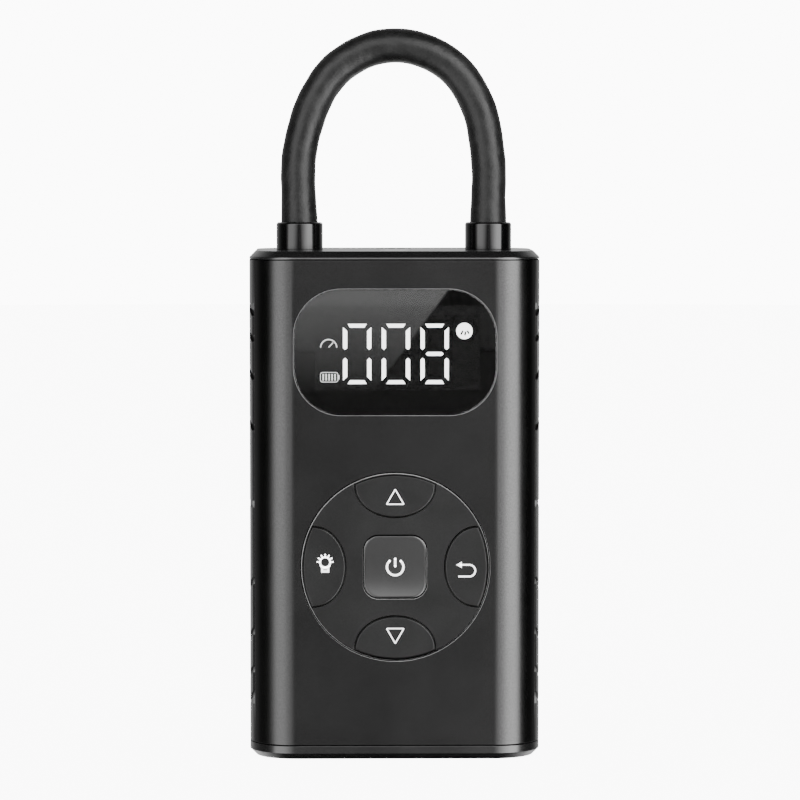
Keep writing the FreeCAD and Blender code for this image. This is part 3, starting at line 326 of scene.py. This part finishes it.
def thicken(piece, depth):
    """The selected flat piece pulled out towards the front by depth."""
    pick(piece)
    bpy.ops.object.mode_set(mode="EDIT")
    bpy.ops.mesh.select_all(action="SELECT")
    bpy.ops.mesh.extrude_region_move(TRANSFORM_OT_translate={"value": (0, -depth, 0)})
    bpy.ops.mesh.select_all(action="SELECT")
    bpy.ops.mesh.normals_make_consistent(inside=False)
    bpy.ops.object.mode_set(mode="OBJECT")
    return piece


def open_middle(piece, width):
    """The flat piece cut down to a border of this width."""
    pick(piece)
    bpy.ops.object.mode_set(mode="EDIT")
    bpy.ops.mesh.select_all(action="SELECT")
    bpy.ops.mesh.inset(thickness=width, depth=0)
    bpy.ops.mesh.delete(type="FACE")
    bpy.ops.object.mode_set(mode="OBJECT")
    return piece


front = -0.02265
window_middle = 0.0996
line_seat = 0.00002
line_depth = 0.00005
smoked_window = surface("smoked_window", grey(0.45), grey(0.47), (0.003, 0.008),
                        per_metre=400.0, depth=0.0,
                        constants={"Transmission Weight": 1.0, "IOR": 1.49})
lens = rounded_plate("window_lens", 0.0491, 0.0305, 0.0115, 0, -0.02145, window_middle, steps=20)
thicken(lens, 0.0012)
bpy.ops.object.modifier_add(type="BEVEL")
lens.modifiers[-1].width = 0.00025
lens.modifiers[-1].segments = 3
bpy.ops.object.modifier_apply(modifier=lens.modifiers[-1].name)
bpy.ops.object.shade_flat()
dress(lens, smoked_window)
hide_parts("display_window")
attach(lens, "casing")

# Pale, metal-like rings laid along seat edges: painted highlights.
painted_edge_highlight = surface("painted_edge_highlight", grey(0.34), grey(0.40), (0.30, 0.40),
                      per_metre=1800.0, depth=0.000001, metal=0.8)
rim = rounded_plate("window_rim_highlight", 0.04940, 0.03080, 0.01165, 0, front + line_seat, window_middle,
                    steps=20)
open_middle(rim, 0.00010)
thicken(rim, line_depth)
dress(rim, painted_edge_highlight)
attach(rim, "casing")

mask_black = surface("mask_black", grey(0.011), grey(0.015), (0.35, 0.45),
                     per_metre=2500.0, depth=0.000001,
                     constants={"Specular IOR Level": 0.08})
printed_mask = dress(soften(shell_from("display_mask", "printed_mask"), 0.00003), mask_black)
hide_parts("display_mask")
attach(printed_mask, "casing")


# Display module
# A dark segment panel behind the window, with three seven-bar digits lit in white, a gauge mark, a
# row of battery bars and a round mark for the ball setting.
module_black = surface("module_black", grey(0.0025), grey(0.004), (0.30, 0.45),
                       per_metre=2500.0, depth=0.000001,
                       constants={"Specular IOR Level": 0.03})
segment_panel = dress(soften(shell_from("display_module", "segment_panel"), 0.00003), module_black)
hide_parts("display_module")
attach(segment_panel, "casing")

lit_white = surface("lit_white", grey(0.75), grey(0.85), (0.4, 0.5), per_metre=1500.0, depth=0.0,
                    constants={"Emission Color": (1.0, 1.0, 1.0, 1.0), "Emission Strength": 9.0})


def disc(name, radius, x, y, z, sides=48, turn=0.0):
    """Round or many-sided flat face, facing the front."""
    bpy.ops.mesh.primitive_circle_add(vertices=sides, radius=radius, fill_type="NGON",
                                      location=(x, y, z), rotation=(math.pi / 2, turn, 0))
    piece = bpy.context.active_object
    piece.name = name
    bpy.ops.object.transform_apply(location=True, rotation=True, scale=True)
    return piece


def strip(name, width, height, x, y, z, turn=0.0):
    """Straight flat bar, facing the front, turned about its middle."""
    bpy.ops.mesh.primitive_plane_add(size=1.0, location=(x, y, z), rotation=(math.pi / 2, turn, 0))
    piece = bpy.context.active_object
    piece.name = name
    piece.scale = (width, height, 1.0)
    bpy.ops.object.transform_apply(location=True, rotation=True, scale=True)
    return piece


def gather(name, pieces):
    """Pieces joined into one."""
    bpy.ops.object.select_all(action="DESELECT")
    for piece in pieces:
        piece.select_set(True)
    bpy.context.view_layer.objects.active = pieces[0]
    bpy.ops.object.join()
    pieces[0].name = name
    return pieces[0]


def drop_faces(piece, test):
    """Faces whose middle passes the test are cut out of a flat piece."""
    pick(piece)
    bpy.ops.object.mode_set(mode="EDIT")
    bpy.ops.mesh.select_mode(type="FACE")
    bpy.ops.mesh.select_all(action="DESELECT")
    bpy.ops.object.mode_set(mode="OBJECT")
    for face in piece.data.polygons:
        face.select = test(face.center)
    bpy.ops.object.mode_set(mode="EDIT")
    bpy.ops.mesh.delete(type="FACE")
    bpy.ops.object.mode_set(mode="OBJECT")
    return piece


def outline(name, corners, x, y, z):
    """Flat face through corners given around a middle point, facing the front."""
    bpy.ops.mesh.primitive_circle_add(vertices=len(corners), radius=0.001, fill_type="NGON")
    piece = bpy.context.active_object
    piece.name = name
    for vertex, (right, up) in zip(piece.data.vertices, corners):
        vertex.co = (x + right, y, z + up)
    return piece


panel_y = -0.02051
print_depth = 0.00003
digit_places = (-0.00919, 0.0002, 0.00959)
digit_z = 0.09915
top_bar = [(-0.00232, 0.00729), (0.00232, 0.00729), (0.00174, 0.00638), (-0.00174, 0.00638)]
side_bar = [(0.00343, 0.00650), (0.00343, 0.00144), (0.00292, 0.00096), (0.00242, 0.00144),
            (0.00242, 0.00556)]
middle_bar = [(-0.00216, 0.0), (-0.00172, 0.00046), (0.00172, 0.00046), (0.00216, 0.0),
              (0.00172, -0.00046), (-0.00172, -0.00046)]
bars = [outline("digit_bar", middle_bar, digit_places[-1], panel_y, digit_z)]
for digit_x in digit_places:
    for up in (1, -1):
        level_bar = [(x, up * z) for x, z in top_bar]
        bars.append(outline("digit_bar", level_bar, digit_x, panel_y, digit_z))
        for right in (1, -1):
            upright_bar = [(right * x, up * z) for x, z in side_bar]
            bars.append(outline("digit_bar", upright_bar, digit_x, panel_y, digit_z))
digits = gather("lit_digits", bars)
thicken(digits, print_depth)
dress(digits, lit_white)
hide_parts("display_segments")
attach(digits, "casing")

dim_white = surface("dim_white", grey(0.60), grey(0.70), (0.4, 0.5), per_metre=1500.0, depth=0.0,
                    constants={"Emission Color": (1.0, 1.0, 1.0, 1.0), "Emission Strength": 3.0})
battery_z = 0.0935
battery_frame = open_middle(rounded_plate("battery_frame", 0.0044, 0.0025, 0.0006, -0.01598,
                                          panel_y, battery_z, steps=4), 0.00018)
battery_bars = [strip("battery_bar", 0.00040, 0.0016, -0.01742 + 0.00072 * index, panel_y,
                      battery_z) for index in range(5)]
battery_nib = strip("battery_nib", 0.00028, 0.0011, -0.01364, panel_y, battery_z)
gauge_x = -0.0161
gauge_z = 0.1007
dial = open_middle(disc("gauge_dial", 0.0021, gauge_x, panel_y, gauge_z, sides=48), 0.00030)
drop_faces(dial, lambda c: c.z < gauge_z)
needle = strip("gauge_needle", 0.0016, 0.00026, gauge_x + 0.00055, panel_y, gauge_z + 0.00065,
               turn=math.radians(-48))
marks = gather("display_marks", [battery_frame, battery_nib] + battery_bars + [dial, needle])
thicken(marks, print_depth)
dress(marks, dim_white)
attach(marks, "casing")

ball = thicken(disc("ball_mark", 0.00198, 0.0168, panel_y, 0.1047, sides=40), print_depth)
dress(ball, lit_white)
seam_y = panel_y - 0.00005
seam_width = 0.00042
seams = gather("ball_seams", [
    strip("ball_seam", 0.0011, seam_width, 0.0162, seam_y, 0.1043, turn=math.radians(-62)),
    strip("ball_seam", 0.0010, seam_width, 0.0170, seam_y, 0.1041, turn=math.radians(-80)),
    strip("ball_seam", 0.0009, seam_width, 0.0177, seam_y, 0.1044, turn=math.radians(60))])
thicken(seams, 0.00002)
dress(seams, mask_black)
for mark in (ball, seams):
    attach(mark, "casing")


# Keypad
# A round moulded plate, flush in the front, with a square key in the middle and four keys shaped as
# half ovals against its edge. The keys rest on a silicone sheet and each presses a switch.
pad_middle = 0.0475
key_black = surface("key_black", grey(0.006), grey(0.012), (0.28, 0.33),
                    per_metre=3600.0, depth=0.000002)
plate = dress(soften(shell_from("keypad_plate", "keypad_disc"), 0.00012, segments=4), key_black)
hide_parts("keypad_plate")
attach(plate, "casing")

for node, body in (("up_button", "up_key"), ("down_button", "down_key"),
                   ("light_button", "light_key"), ("back_button", "back_key")):
    key = dress(soften(shell_from(node, node + "_cap"), 0.0003, segments=5, angle=25.0), key_black)
    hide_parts(node)
    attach(key, body)


def dished_square(name, half, corner, face_y, middle_z, sphere):
    """Square key face with round corners, a soft edge and a hollow, deepest at mid height. The rows
    of the grid crowd towards the edge, and the hollow hardly bends from side to side."""
    edge, crowding, side_bend = 0.0004, 1.6, 0.06
    bpy.ops.mesh.primitive_grid_add(x_subdivisions=48, y_subdivisions=48, size=2.0)
    piece = bpy.context.active_object
    piece.name = name
    for vertex in piece.data.vertices:
        place_x, place_z = vertex.co.x, vertex.co.y
        ring = max(abs(place_x), abs(place_z), 0.000001)
        reach = 1.0 - (1.0 - min(ring, 1.0)) ** crowding
        side, arc = half * reach, corner * reach
        place_x, place_z = place_x / ring * side, place_z / ring * side
        past_x, past_z = abs(place_x) - side + arc, abs(place_z) - side + arc
        if past_x > 0.0 and past_z > 0.0:
            pull = arc / math.hypot(past_x, past_z)
            place_x = math.copysign(side - arc + past_x * pull, place_x)
            place_z = math.copysign(side - arc + past_z * pull, place_z)
        edge_reach = max(0.0, edge - half * (1.0 - reach))
        drop = edge - math.sqrt(edge ** 2 - edge_reach ** 2)
        hollow = (half ** 2 - side_bend * place_x ** 2 - place_z ** 2) / (2 * sphere)
        vertex.co = (place_x, face_y + hollow + drop, middle_z + place_z)
    return piece


power_black = surface("power_black", grey(0.006), grey(0.010), (0.28, 0.32),
                      per_metre=3600.0, depth=0.000001,
                      constants={"Specular IOR Level": 1.0})
power_face = dished_square("power_face", half=0.0076, corner=0.0036, face_y=front + 0.00065,
                           middle_z=pad_middle, sphere=0.032)
thicken(power_face, 0.00105)
power_body = shell_from("power_button", "power_body")
bpy.ops.object.mode_set(mode="EDIT")
bpy.ops.mesh.select_all(action="SELECT")
bpy.ops.mesh.bisect(plane_co=(0, -0.02195, 0), plane_no=(0, -1, 0), use_fill=True,
                    clear_outer=True)
bpy.ops.object.mode_set(mode="OBJECT")
power_key = dress(gather("power_cap", [power_face, power_body]), power_black)
pick(power_key)
bpy.ops.object.shade_smooth_by_angle(angle=math.radians(35))
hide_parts("power_button")
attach(power_key, "power_key")

# A bright ring, shifted a little up and left, and a near-black ring round the keypad and the power
# key: painted highlight on the seat's edge and painted shade in the gap.
rim_depth = 0.00004
gap_seat = 0.00001
keypad_rim_highlight = open_middle(disc("keypad_rim_highlight", 0.02309, 0.00004, front + line_seat,
                              pad_middle - 0.00009, sides=160), 0.00040)
keypad_gap_shade = open_middle(disc("keypad_gap_shade", 0.02307, 0, front + gap_seat, pad_middle, sides=160),
                         0.00026)
power_rim_highlight = open_middle(rounded_plate("power_rim_highlight", 0.01572, 0.01572, 0.0038, 0, front + line_seat,
                                      pad_middle - 0.0001, steps=10), 0.0004)
power_gap_shade = open_middle(rounded_plate("power_gap_shade", 0.01566, 0.01566, 0.0038, 0, front + gap_seat,
                                      pad_middle, steps=10), 0.00028)
for ring, depth, coat in ((keypad_rim_highlight, rim_depth, painted_edge_highlight), (keypad_gap_shade, line_depth, painted_gap_shade),
                          (power_rim_highlight, rim_depth, painted_edge_highlight), (power_gap_shade, line_depth, painted_gap_shade)):
    thicken(ring, depth)
    dress(ring, coat)
    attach(ring, "casing")


# Key symbols
# White marks printed on the keys, their glow painted light: a triangle up and one down, a ring with
# a bar, a lamp with rays, and an arrow that turns back.
# The print's glow is painted light.
key_ink_painted_glow = surface("key_ink_painted_glow", grey(0.75), grey(0.85), (0.4, 0.5), per_metre=1500.0, depth=0.0,
                  constants={"Emission Color": (1.0, 1.0, 1.0, 1.0), "Emission Strength": 2.9})
ink_y = front - 0.00063


def triangle(name, z, turn):
    """Outlined triangle with round corners."""
    piece = disc(name, 0.00270, 0, ink_y, z, sides=3, turn=turn)
    bpy.ops.object.mode_set(mode="EDIT")
    bpy.ops.mesh.select_all(action="SELECT")
    bpy.ops.mesh.bevel(offset=0.00045, segments=4, affect="VERTICES")
    bpy.ops.object.mode_set(mode="OBJECT")
    return open_middle(piece, 0.00029)


up_mark = triangle("up_mark", 0.0640, 0.0)
down_mark = triangle("down_mark", 0.0313, math.pi)

power_y = front + 0.0004
power_z = 0.0474
opening = math.radians(41.5)
end_x = 0.0020 * math.sin(opening)
end_z = power_z + 0.0020 * math.cos(opening)
ring = open_middle(disc("power_ring", 0.00226, 0, power_y, power_z, sides=72), 0.00052)
drop_faces(ring, lambda c: c.z > power_z and abs(c.x) < (c.z - power_z) * math.tan(opening))
power_mark = gather("power_mark", [
    ring,
    disc("ring_end", 0.00026, end_x, power_y, end_z, sides=16),
    disc("ring_end", 0.00026, -end_x, power_y, end_z, sides=16),
    strip("power_bar", 0.00054, 0.00184, 0, power_y, power_z + 0.00111),
    disc("bar_end", 0.00027, 0, power_y, power_z + 0.00203, sides=16),
    disc("bar_end", 0.00027, 0, power_y, power_z + 0.00019, sides=16)])

lamp_x = -0.0170
lamp_z = 0.0487
lamp = open_middle(disc("lamp_ring", 0.00146, lamp_x, ink_y, lamp_z, sides=40), 0.00045)
ray_middle, ray_end = 0.0015, 0.0019
rays = []
for index in range(7):
    angle = math.radians(2 + index * 29.3)
    reach_x, reach_z = math.cos(angle), math.sin(angle)
    rays.append(strip("lamp_ray", 0.0008, 0.00036, lamp_x + ray_middle * reach_x, ink_y,
                      lamp_z + ray_middle * reach_z, turn=-angle))
    rays.append(disc("ray_end", 0.00018, lamp_x + ray_end * reach_x, ink_y,
                     lamp_z + ray_end * reach_z, sides=12))
neck = [(-0.00138, -0.0006), (-0.00100, -0.00140), (-0.00097, -0.00172), (0.00097, -0.00172),
        (0.00100, -0.00140), (0.00138, -0.0006), (0.0006, -0.0011), (-0.0006, -0.0011)]
foot = [outline("lamp_neck", neck, lamp_x, ink_y, lamp_z),
        strip("lamp_side", 0.00048, 0.00026, lamp_x - 0.00073, ink_y, lamp_z - 0.00183),
        strip("lamp_side", 0.00048, 0.00026, lamp_x + 0.00073, ink_y, lamp_z - 0.00183),
        strip("lamp_foot", 0.00194, 0.00058, lamp_x, ink_y, lamp_z - 0.00223)]
lamp_mark = gather("light_mark", [lamp] + rays + foot)

turn_x = 0.0180
turn_z = 0.0466
arm_reach = 0.00142
bow = open_middle(disc("back_bow", 0.00162, turn_x, ink_y, turn_z, sides=64), 0.00040)
drop_faces(bow, lambda c: c.x < turn_x)
back_mark = gather("back_mark", [
    bow,
    strip("back_top", 0.0022, 0.00040, turn_x - 0.0011, ink_y, turn_z + arm_reach),
    strip("back_low", 0.0027, 0.00040, turn_x - 0.00135, ink_y, turn_z - arm_reach),
    disc("back_head", 0.0009, turn_x - 0.0023, ink_y, turn_z + arm_reach, sides=3,
         turn=-math.pi / 2)])

for mark, body in ((up_mark, "up_key"), (down_mark, "down_key"), (power_mark, "power_key"),
                   (lamp_mark, "light_key"), (back_mark, "back_key")):
    thicken(mark, print_depth)
    dress(mark, key_ink_painted_glow)
    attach(mark, body)


# Work light and charging socket
# A clear lens with its lamp chip under it, and a nickel-plated socket shell, both in the top lid.
clear_lens = surface("clear_lens", grey(0.85), grey(0.9), (0.03, 0.08), per_metre=600.0,
                     depth=0.000001,
                     constants={"Transmission Weight": 1.0, "IOR": 1.49})
light_lens = soften(shell_from("work_light_lens", "light_lens"), 0.0002, segments=3)
dress(light_lens, clear_lens)
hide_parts("work_light_lens")
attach(light_lens, "casing")
lamp_white = surface("lamp_white", (0.75, 0.72, 0.45), (0.85, 0.8, 0.5), (0.4, 0.5))
dress_nodes(lamp_white, "work_light_led")
nickel = surface("nickel", grey(0.55), grey(0.65), (0.18, 0.3), per_metre=1500.0,
                 depth=0.000001, metal=1.0)
dress_nodes(nickel, "usb_socket", "battery_tabs")


# Port collars
# Two turned collars, lacquered in glossy black, one over each end of the hose, with the lathe's fine
# rings showing through.
collar_black = surface("collar_black", grey(0.003), grey(0.006), (0.10, 0.16),
                       per_metre=2500.0, depth=0.0000012,
                       stretch=(0.05, 0.05, 3.0),
                       constants={"Specular IOR Level": 0.56})
for node, body in (("outlet_collar", "casing"), ("chuck_collar", "chuck")):
    collar = dress(soften(shell_from(node, node + "_turned"), 0.00012, segments=3), collar_black)
    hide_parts(node)
    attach(collar, body)


# Air hose
# A black rubber hose with a woven core, pushed over a barb at each end and bent over the casing as
# a carrying loop. Its skin is slightly uneven, and it swells where it leaves the collars.
hose_radius = 0.00427
hose_route = [
    (0.0233, 0.1268),
    (0.0233, 0.1336),
    (0.0236, 0.1468),
    (0.0211, 0.1603),
    (0.0137, 0.1709),
    (0.0002, 0.1754),
    (-0.0128, 0.1708),
    (-0.0202, 0.1608),
    (-0.0240, 0.1463),
    (-0.0233, 0.1336),
    (-0.0233, 0.1268),
]
line = bpy.data.curves.new("hose_line", "CURVE")
line.dimensions = "3D"
spline = line.splines.new("NURBS")
spline.points.add(len(hose_route) - 1)
for point, (x, z) in zip(spline.points, hose_route):
    point.co = (x, 0.0, z, 1.0)
spline.order_u = 3
spline.use_endpoint_u = True
spline.resolution_u = 12
hose = bpy.data.objects.new("air_hose", line)
bpy.context.scene.collection.objects.link(hose)
centre = bpy.data.meshes.new_from_object(hose)
hose_path = [tuple(vertex.co) for vertex in centre.vertices]
line.bevel_depth = hose_radius
line.bevel_resolution = 10
line.use_fill_caps = True
pick(hose)
bpy.ops.object.convert(target="MESH")
hose = bpy.context.active_object
swell_end, swell_size, swell_fade = 0.13075, 0.055, 0.004
wave_fade, broad_wave, fine_wave = 0.006, 0.010, 0.008
for vertex in hose.data.vertices:
    middle = min(hose_path, key=lambda p: (vertex.co.x - p[0]) ** 2 + (vertex.co.z - p[2]) ** 2)
    above = max(0.0, vertex.co.z - swell_end)
    swell = swell_size * math.exp(-(above / swell_fade) ** 2)
    angle = 260.0 * (vertex.co.x + 1.7 * vertex.co.z)
    wave = broad_wave * math.sin(angle) + fine_wave * math.sin(2.3 * angle + 900.0 * vertex.co.y)
    scale = 1.0 + swell + wave * min(1.0, above / wave_fade)
    vertex.co.x = middle[0] + (vertex.co.x - middle[0]) * scale
    vertex.co.y = vertex.co.y * scale
    vertex.co.z = middle[2] + (vertex.co.z - middle[2]) * scale
bpy.ops.object.shade_smooth_by_angle(angle=math.radians(50))
hose_rubber = surface("hose_rubber", grey(0.006), grey(0.014), (0.36, 0.46),
                      per_metre=420.0, depth=0.00006, patches=150.0,
                      constants={"Specular IOR Level": 0.33})
dress(hose, hose_rubber)
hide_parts("hose")
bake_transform(hose)


# Air fittings
# Brass turned parts inside the collars and the manifold, with rubber seals between them.
brass = surface("brass", (0.62, 0.42, 0.16), (0.74, 0.52, 0.22), (0.22, 0.34),
                per_metre=1800.0, depth=0.000003, metal=1.0)
dress_nodes(brass, "outlet_nipple", "chuck_body", "valve_pin", "pinion")
dress_nodes(rubber_black, "outlet_seal", "chuck_seal", "piston_seal", "head_gasket")
inner_plastic = surface("inner_plastic", grey(0.020), grey(0.034), (0.42, 0.55),
                        per_metre=1600.0, depth=0.000006)
dress_nodes(inner_plastic, "outlet_block", "storage_socket", "battery_holder")


# Boards
# Green glass-fibre boards with black chips and switches, fixed by small steel screws.
board_green = surface("board_green", (0.010, 0.075, 0.030), (0.016, 0.105, 0.042),
                      (0.30, 0.42), per_metre=2400.0, depth=0.000004)
dress_nodes(board_green, "main_board", "usb_board")
chip_black = surface("chip_black", grey(0.012), grey(0.020), (0.45, 0.6), per_metre=3000.0)
dress_nodes(chip_black, "board_components", "pressure_sensor")
switch_black = surface("switch_black", grey(0.018), grey(0.028), (0.35, 0.5))
dress_nodes(switch_black, "tact_switches")
silicone_grey = surface("silicone_grey", grey(0.22), grey(0.28), (0.55, 0.7),
                        per_metre=1200.0, depth=0.000008)
dress_nodes(silicone_grey, "keypad_membrane", "air_tube")
steel = surface("steel", grey(0.38), grey(0.50), (0.22, 0.36), per_metre=2000.0,
                depth=0.000003, metal=1.0)
dress_nodes(steel, "board_screws", "usb_board_screws", "base_screws", "pump_screws", "motor_screws",
            "crank_pin", "crank_axle", "wrist_pin", "outlet_valve", "valve_spring", "motor_can")


# Battery pack
# Two round lithium cells in a shrunk wrap, held side by side in their plastic cradle.
cell_wrap = surface("cell_wrap", (0.02, 0.16, 0.34), (0.03, 0.20, 0.42), (0.25, 0.38),
                    per_metre=700.0, depth=0.00001)
dress_nodes(cell_wrap, "battery_cells")


# Motor and pump
# A small direct-current motor drives the crank gear, which works the piston in its cast cylinder.
cast_alloy = surface("cast_alloy", grey(0.34), grey(0.46), (0.38, 0.55), per_metre=1100.0,
                     depth=0.00002, metal=1.0)
dress_nodes(cast_alloy, "pump_frame", "cylinder", "cylinder_head", "piston", "connecting_rod")
gear_nylon = surface("gear_nylon", (0.62, 0.60, 0.52), (0.72, 0.70, 0.62), (0.42, 0.55),
                     per_metre=1500.0, depth=0.000006)
dress_nodes(gear_nylon, "crank_gear", "motor_end_cap")
magnet_grey = surface("magnet_grey", grey(0.05), grey(0.08), (0.5, 0.65), per_metre=1800.0,
                      depth=0.00001)
dress_nodes(magnet_grey, "motor_magnets", "motor_rotor")


# Floor
# A pale disc that the inflator stands on. The camera sees it as bright as the wall behind it, and
# it gives off no light of its own.
bpy.ops.mesh.primitive_circle_add(vertices=96, radius=3.0, fill_type="NGON", location=(0, 0, 0))
floor = bpy.context.active_object
floor.name = "studio_floor"
floor.visible_glossy = False
paper = bpy.data.materials.new("studio_paper")
paper.use_nodes = True
paper_shader = paper.node_tree.nodes["Principled BSDF"]
paper_shader.inputs["Base Color"].default_value = (0.9, 0.9, 0.9, 1.0)
paper_shader.inputs["Roughness"].default_value = 0.9
paper_shader.inputs["Specular IOR Level"].default_value = 0.0
paper_shader.inputs["Emission Color"].default_value = (1.0, 1.0, 1.0, 1.0)
floor_brightness = 9.1
seen = paper.node_tree.nodes.new("ShaderNodeLightPath")
glow = paper.node_tree.nodes.new("ShaderNodeMath")
glow.operation = "MULTIPLY"
glow.inputs[1].default_value = floor_brightness
paper.node_tree.links.new(seen.outputs["Is Camera Ray"], glow.inputs[0])
paper.node_tree.links.new(glow.outputs[0], paper_shader.inputs["Emission Strength"])
dress(floor, paper)


# Studio light
# An even white room. Gloss sees instead two tall soft boxes before the corners, a dim gap between
# them, a softer box above the camera, a pale wall behind, and the floor's shine from the sides.
world = bpy.data.worlds.new("studio_light")
bpy.context.scene.world = world
world.use_nodes = True
sky = world.node_tree
sky.nodes.clear()
sky_out = sky.nodes.new("ShaderNodeOutputWorld")
light = sky.nodes.new("ShaderNodeBackground")
where = sky.nodes.new("ShaderNodeTexCoord")
split = sky.nodes.new("ShaderNodeSeparateXYZ")
sky.links.new(where.outputs["Generated"], split.inputs["Vector"])


def sky_math(operation, first, second=None):
    node = sky.nodes.new("ShaderNodeMath")
    node.operation = operation
    for index, value in enumerate((first, second)):
        if value is None:
            continue
        if isinstance(value, (int, float)):
            node.inputs[index].default_value = value
        else:
            sky.links.new(value, node.inputs[index])
    return node.outputs[0]


def sky_ramp(value, stops):
    ramp = sky.nodes.new("ShaderNodeValToRGB")
    ramp.color_ramp.interpolation = "LINEAR"
    while len(ramp.color_ramp.elements) < len(stops):
        ramp.color_ramp.elements.new(0.5)
    for element, (position, level) in zip(ramp.color_ramp.elements, stops):
        element.position = position
        element.color = (level, level, level, 1.0)
    sky.links.new(value, ramp.inputs["Fac"])
    return ramp.outputs["Color"]


def sky_slope(value, low, high, to_low, to_high):
    """The value's span from low to high, turned into the one from to_low to to_high."""
    slope = sky.nodes.new("ShaderNodeMapRange")
    sky.links.new(value, slope.inputs["Value"])
    for label, limit in (("From Min", low), ("From Max", high),
                         ("To Min", to_low), ("To Max", to_high)):
        slope.inputs[label].default_value = limit
    return slope.outputs["Result"]


def sky_mix(factor, first, second):
    node = sky.nodes.new("ShaderNodeMix")
    node.data_type = "FLOAT"
    sky.links.new(factor, node.inputs["Factor"])
    for label, value in (("A", first), ("B", second)):
        if isinstance(value, (int, float)):
            node.inputs[label].default_value = value
        else:
            sky.links.new(value, node.inputs[label])
    return node.outputs["Result"]


forward = sky_math("MULTIPLY", split.outputs["Y"], -1.0)
around = sky_math("ARCTAN2", split.outputs["X"], forward)
turned = sky_math("ADD", sky_math("DIVIDE", around, 2 * math.pi), 0.5)
raised = sky_math("ADD", sky_math("DIVIDE", sky_math("ARCSINE", split.outputs["Z"]), math.pi), 0.5)


def by_azimuth(stops):
    """Level by the angle round the inflator in degrees, 0 straight before its front."""
    return sky_ramp(turned, [(azimuth / 360.0 + 0.5, level) for azimuth, level in stops])


def by_elevation(stops):
    """Level by the angle above the horizon in degrees."""
    return sky_ramp(raised, [(elevation / 180.0 + 0.5, level) for elevation, level in stops])


box_light, overhead_light, bounce_light = 7.9, 2.4, 0.9
boxes = by_azimuth((
    (-180, 0.11), (-148, 0.10), (-126, 0.045), (-100, 0.006), (-70, 0.0), (-61, 0.10), (-54, 0.46),
    (-34, 0.46), (-20, 0.28), (-10, 0.09), (-5, 0.02), (2, 0.02), (6, 0.07), (13, 0.25), (23, 0.46),
    (33, 0.73), (43, 1.0), (63, 1.0), (68, 0.01), (92, 0.0), (112, 0.003), (128, 0.04), (148, 0.10),
    (180, 0.11)))
tall = by_elevation(((-90, 0.0), (-55, 0.0), (-40, 1.0), (40, 1.0), (60, 0.0), (90, 0.0)))
ahead = by_azimuth(((-45, 0.0), (-25, 1.0), (25, 1.0), (45, 0.0)))
over = by_elevation(((10, 0.0), (20, 1.0), (40, 1.0), (54, 0.0)))
bounce = by_elevation(((-70, 0.0), (-55, 1.0), (-24, 1.0), (-12, 0.0)))
bounce = sky_math("MULTIPLY", bounce, sky_math("SUBTRACT", 1.0, ahead))
soft_boxes = sky_math("ADD", sky_math("MULTIPLY", sky_math("MULTIPLY", boxes, tall), box_light),
                      sky_math("MULTIPLY", sky_math("MULTIPLY", ahead, over), overhead_light))
soft_boxes = sky_math("ADD", soft_boxes, sky_math("MULTIPLY", bounce, bounce_light))

# The flat window mirrors the middle of the gap: dim, and one bright patch with a slanted edge.
gap_light, patch_light = 0.08, 2.1
slant, slant_start, blur = 0.744, 0.0527, 0.0004
across = sky_math("DIVIDE", split.outputs["X"], forward)
upward = sky_math("DIVIDE", split.outputs["Z"], forward)
edge = sky_math("ADD", sky_math("MULTIPLY", upward, slant), slant_start)
patch = sky_math("MULTIPLY", sky_slope(sky_math("SUBTRACT", edge, across), -blur, blur, 0.0, 1.0),
                 sky_slope(across, -0.034, -0.026, 0.0, 1.0))
patch = sky_math("MULTIPLY", patch, sky_slope(upward, -0.0600, -0.0355, 0.0, patch_light))
patch = sky_math("MULTIPLY", patch, sky_slope(upward, -0.026, -0.018, 1.0, 0.0))
gap = sky_math("ADD", patch, gap_light)
gap_half, gap_end, gap_drop = 0.045, 0.060, 0.045
height = sky_math("ABSOLUTE", sky_math("ADD", upward, gap_drop))
near = sky_math("MULTIPLY",
                sky_slope(sky_math("ABSOLUTE", across), gap_half, gap_end, 1.0, 0.0),
                sky_slope(height, gap_half, gap_end, 1.0, 0.0))
near = sky_math("MULTIPLY", near, sky_math("GREATER_THAN", forward, 0.0))
gloss_level = sky_mix(near, soft_boxes, gap)

room_light, wall_brightness = 1.0, 11.0
rays_kind = sky.nodes.new("ShaderNodeLightPath")
level = sky_mix(rays_kind.outputs["Is Glossy Ray"], room_light, gloss_level)
level = sky_mix(rays_kind.outputs["Is Camera Ray"], level, wall_brightness)
sky.links.new(level, light.inputs["Strength"])
light.inputs["Color"].default_value = (1.0, 1.0, 1.0, 1.0)
sky.links.new(light.outputs["Background"], sky_out.inputs["Surface"])
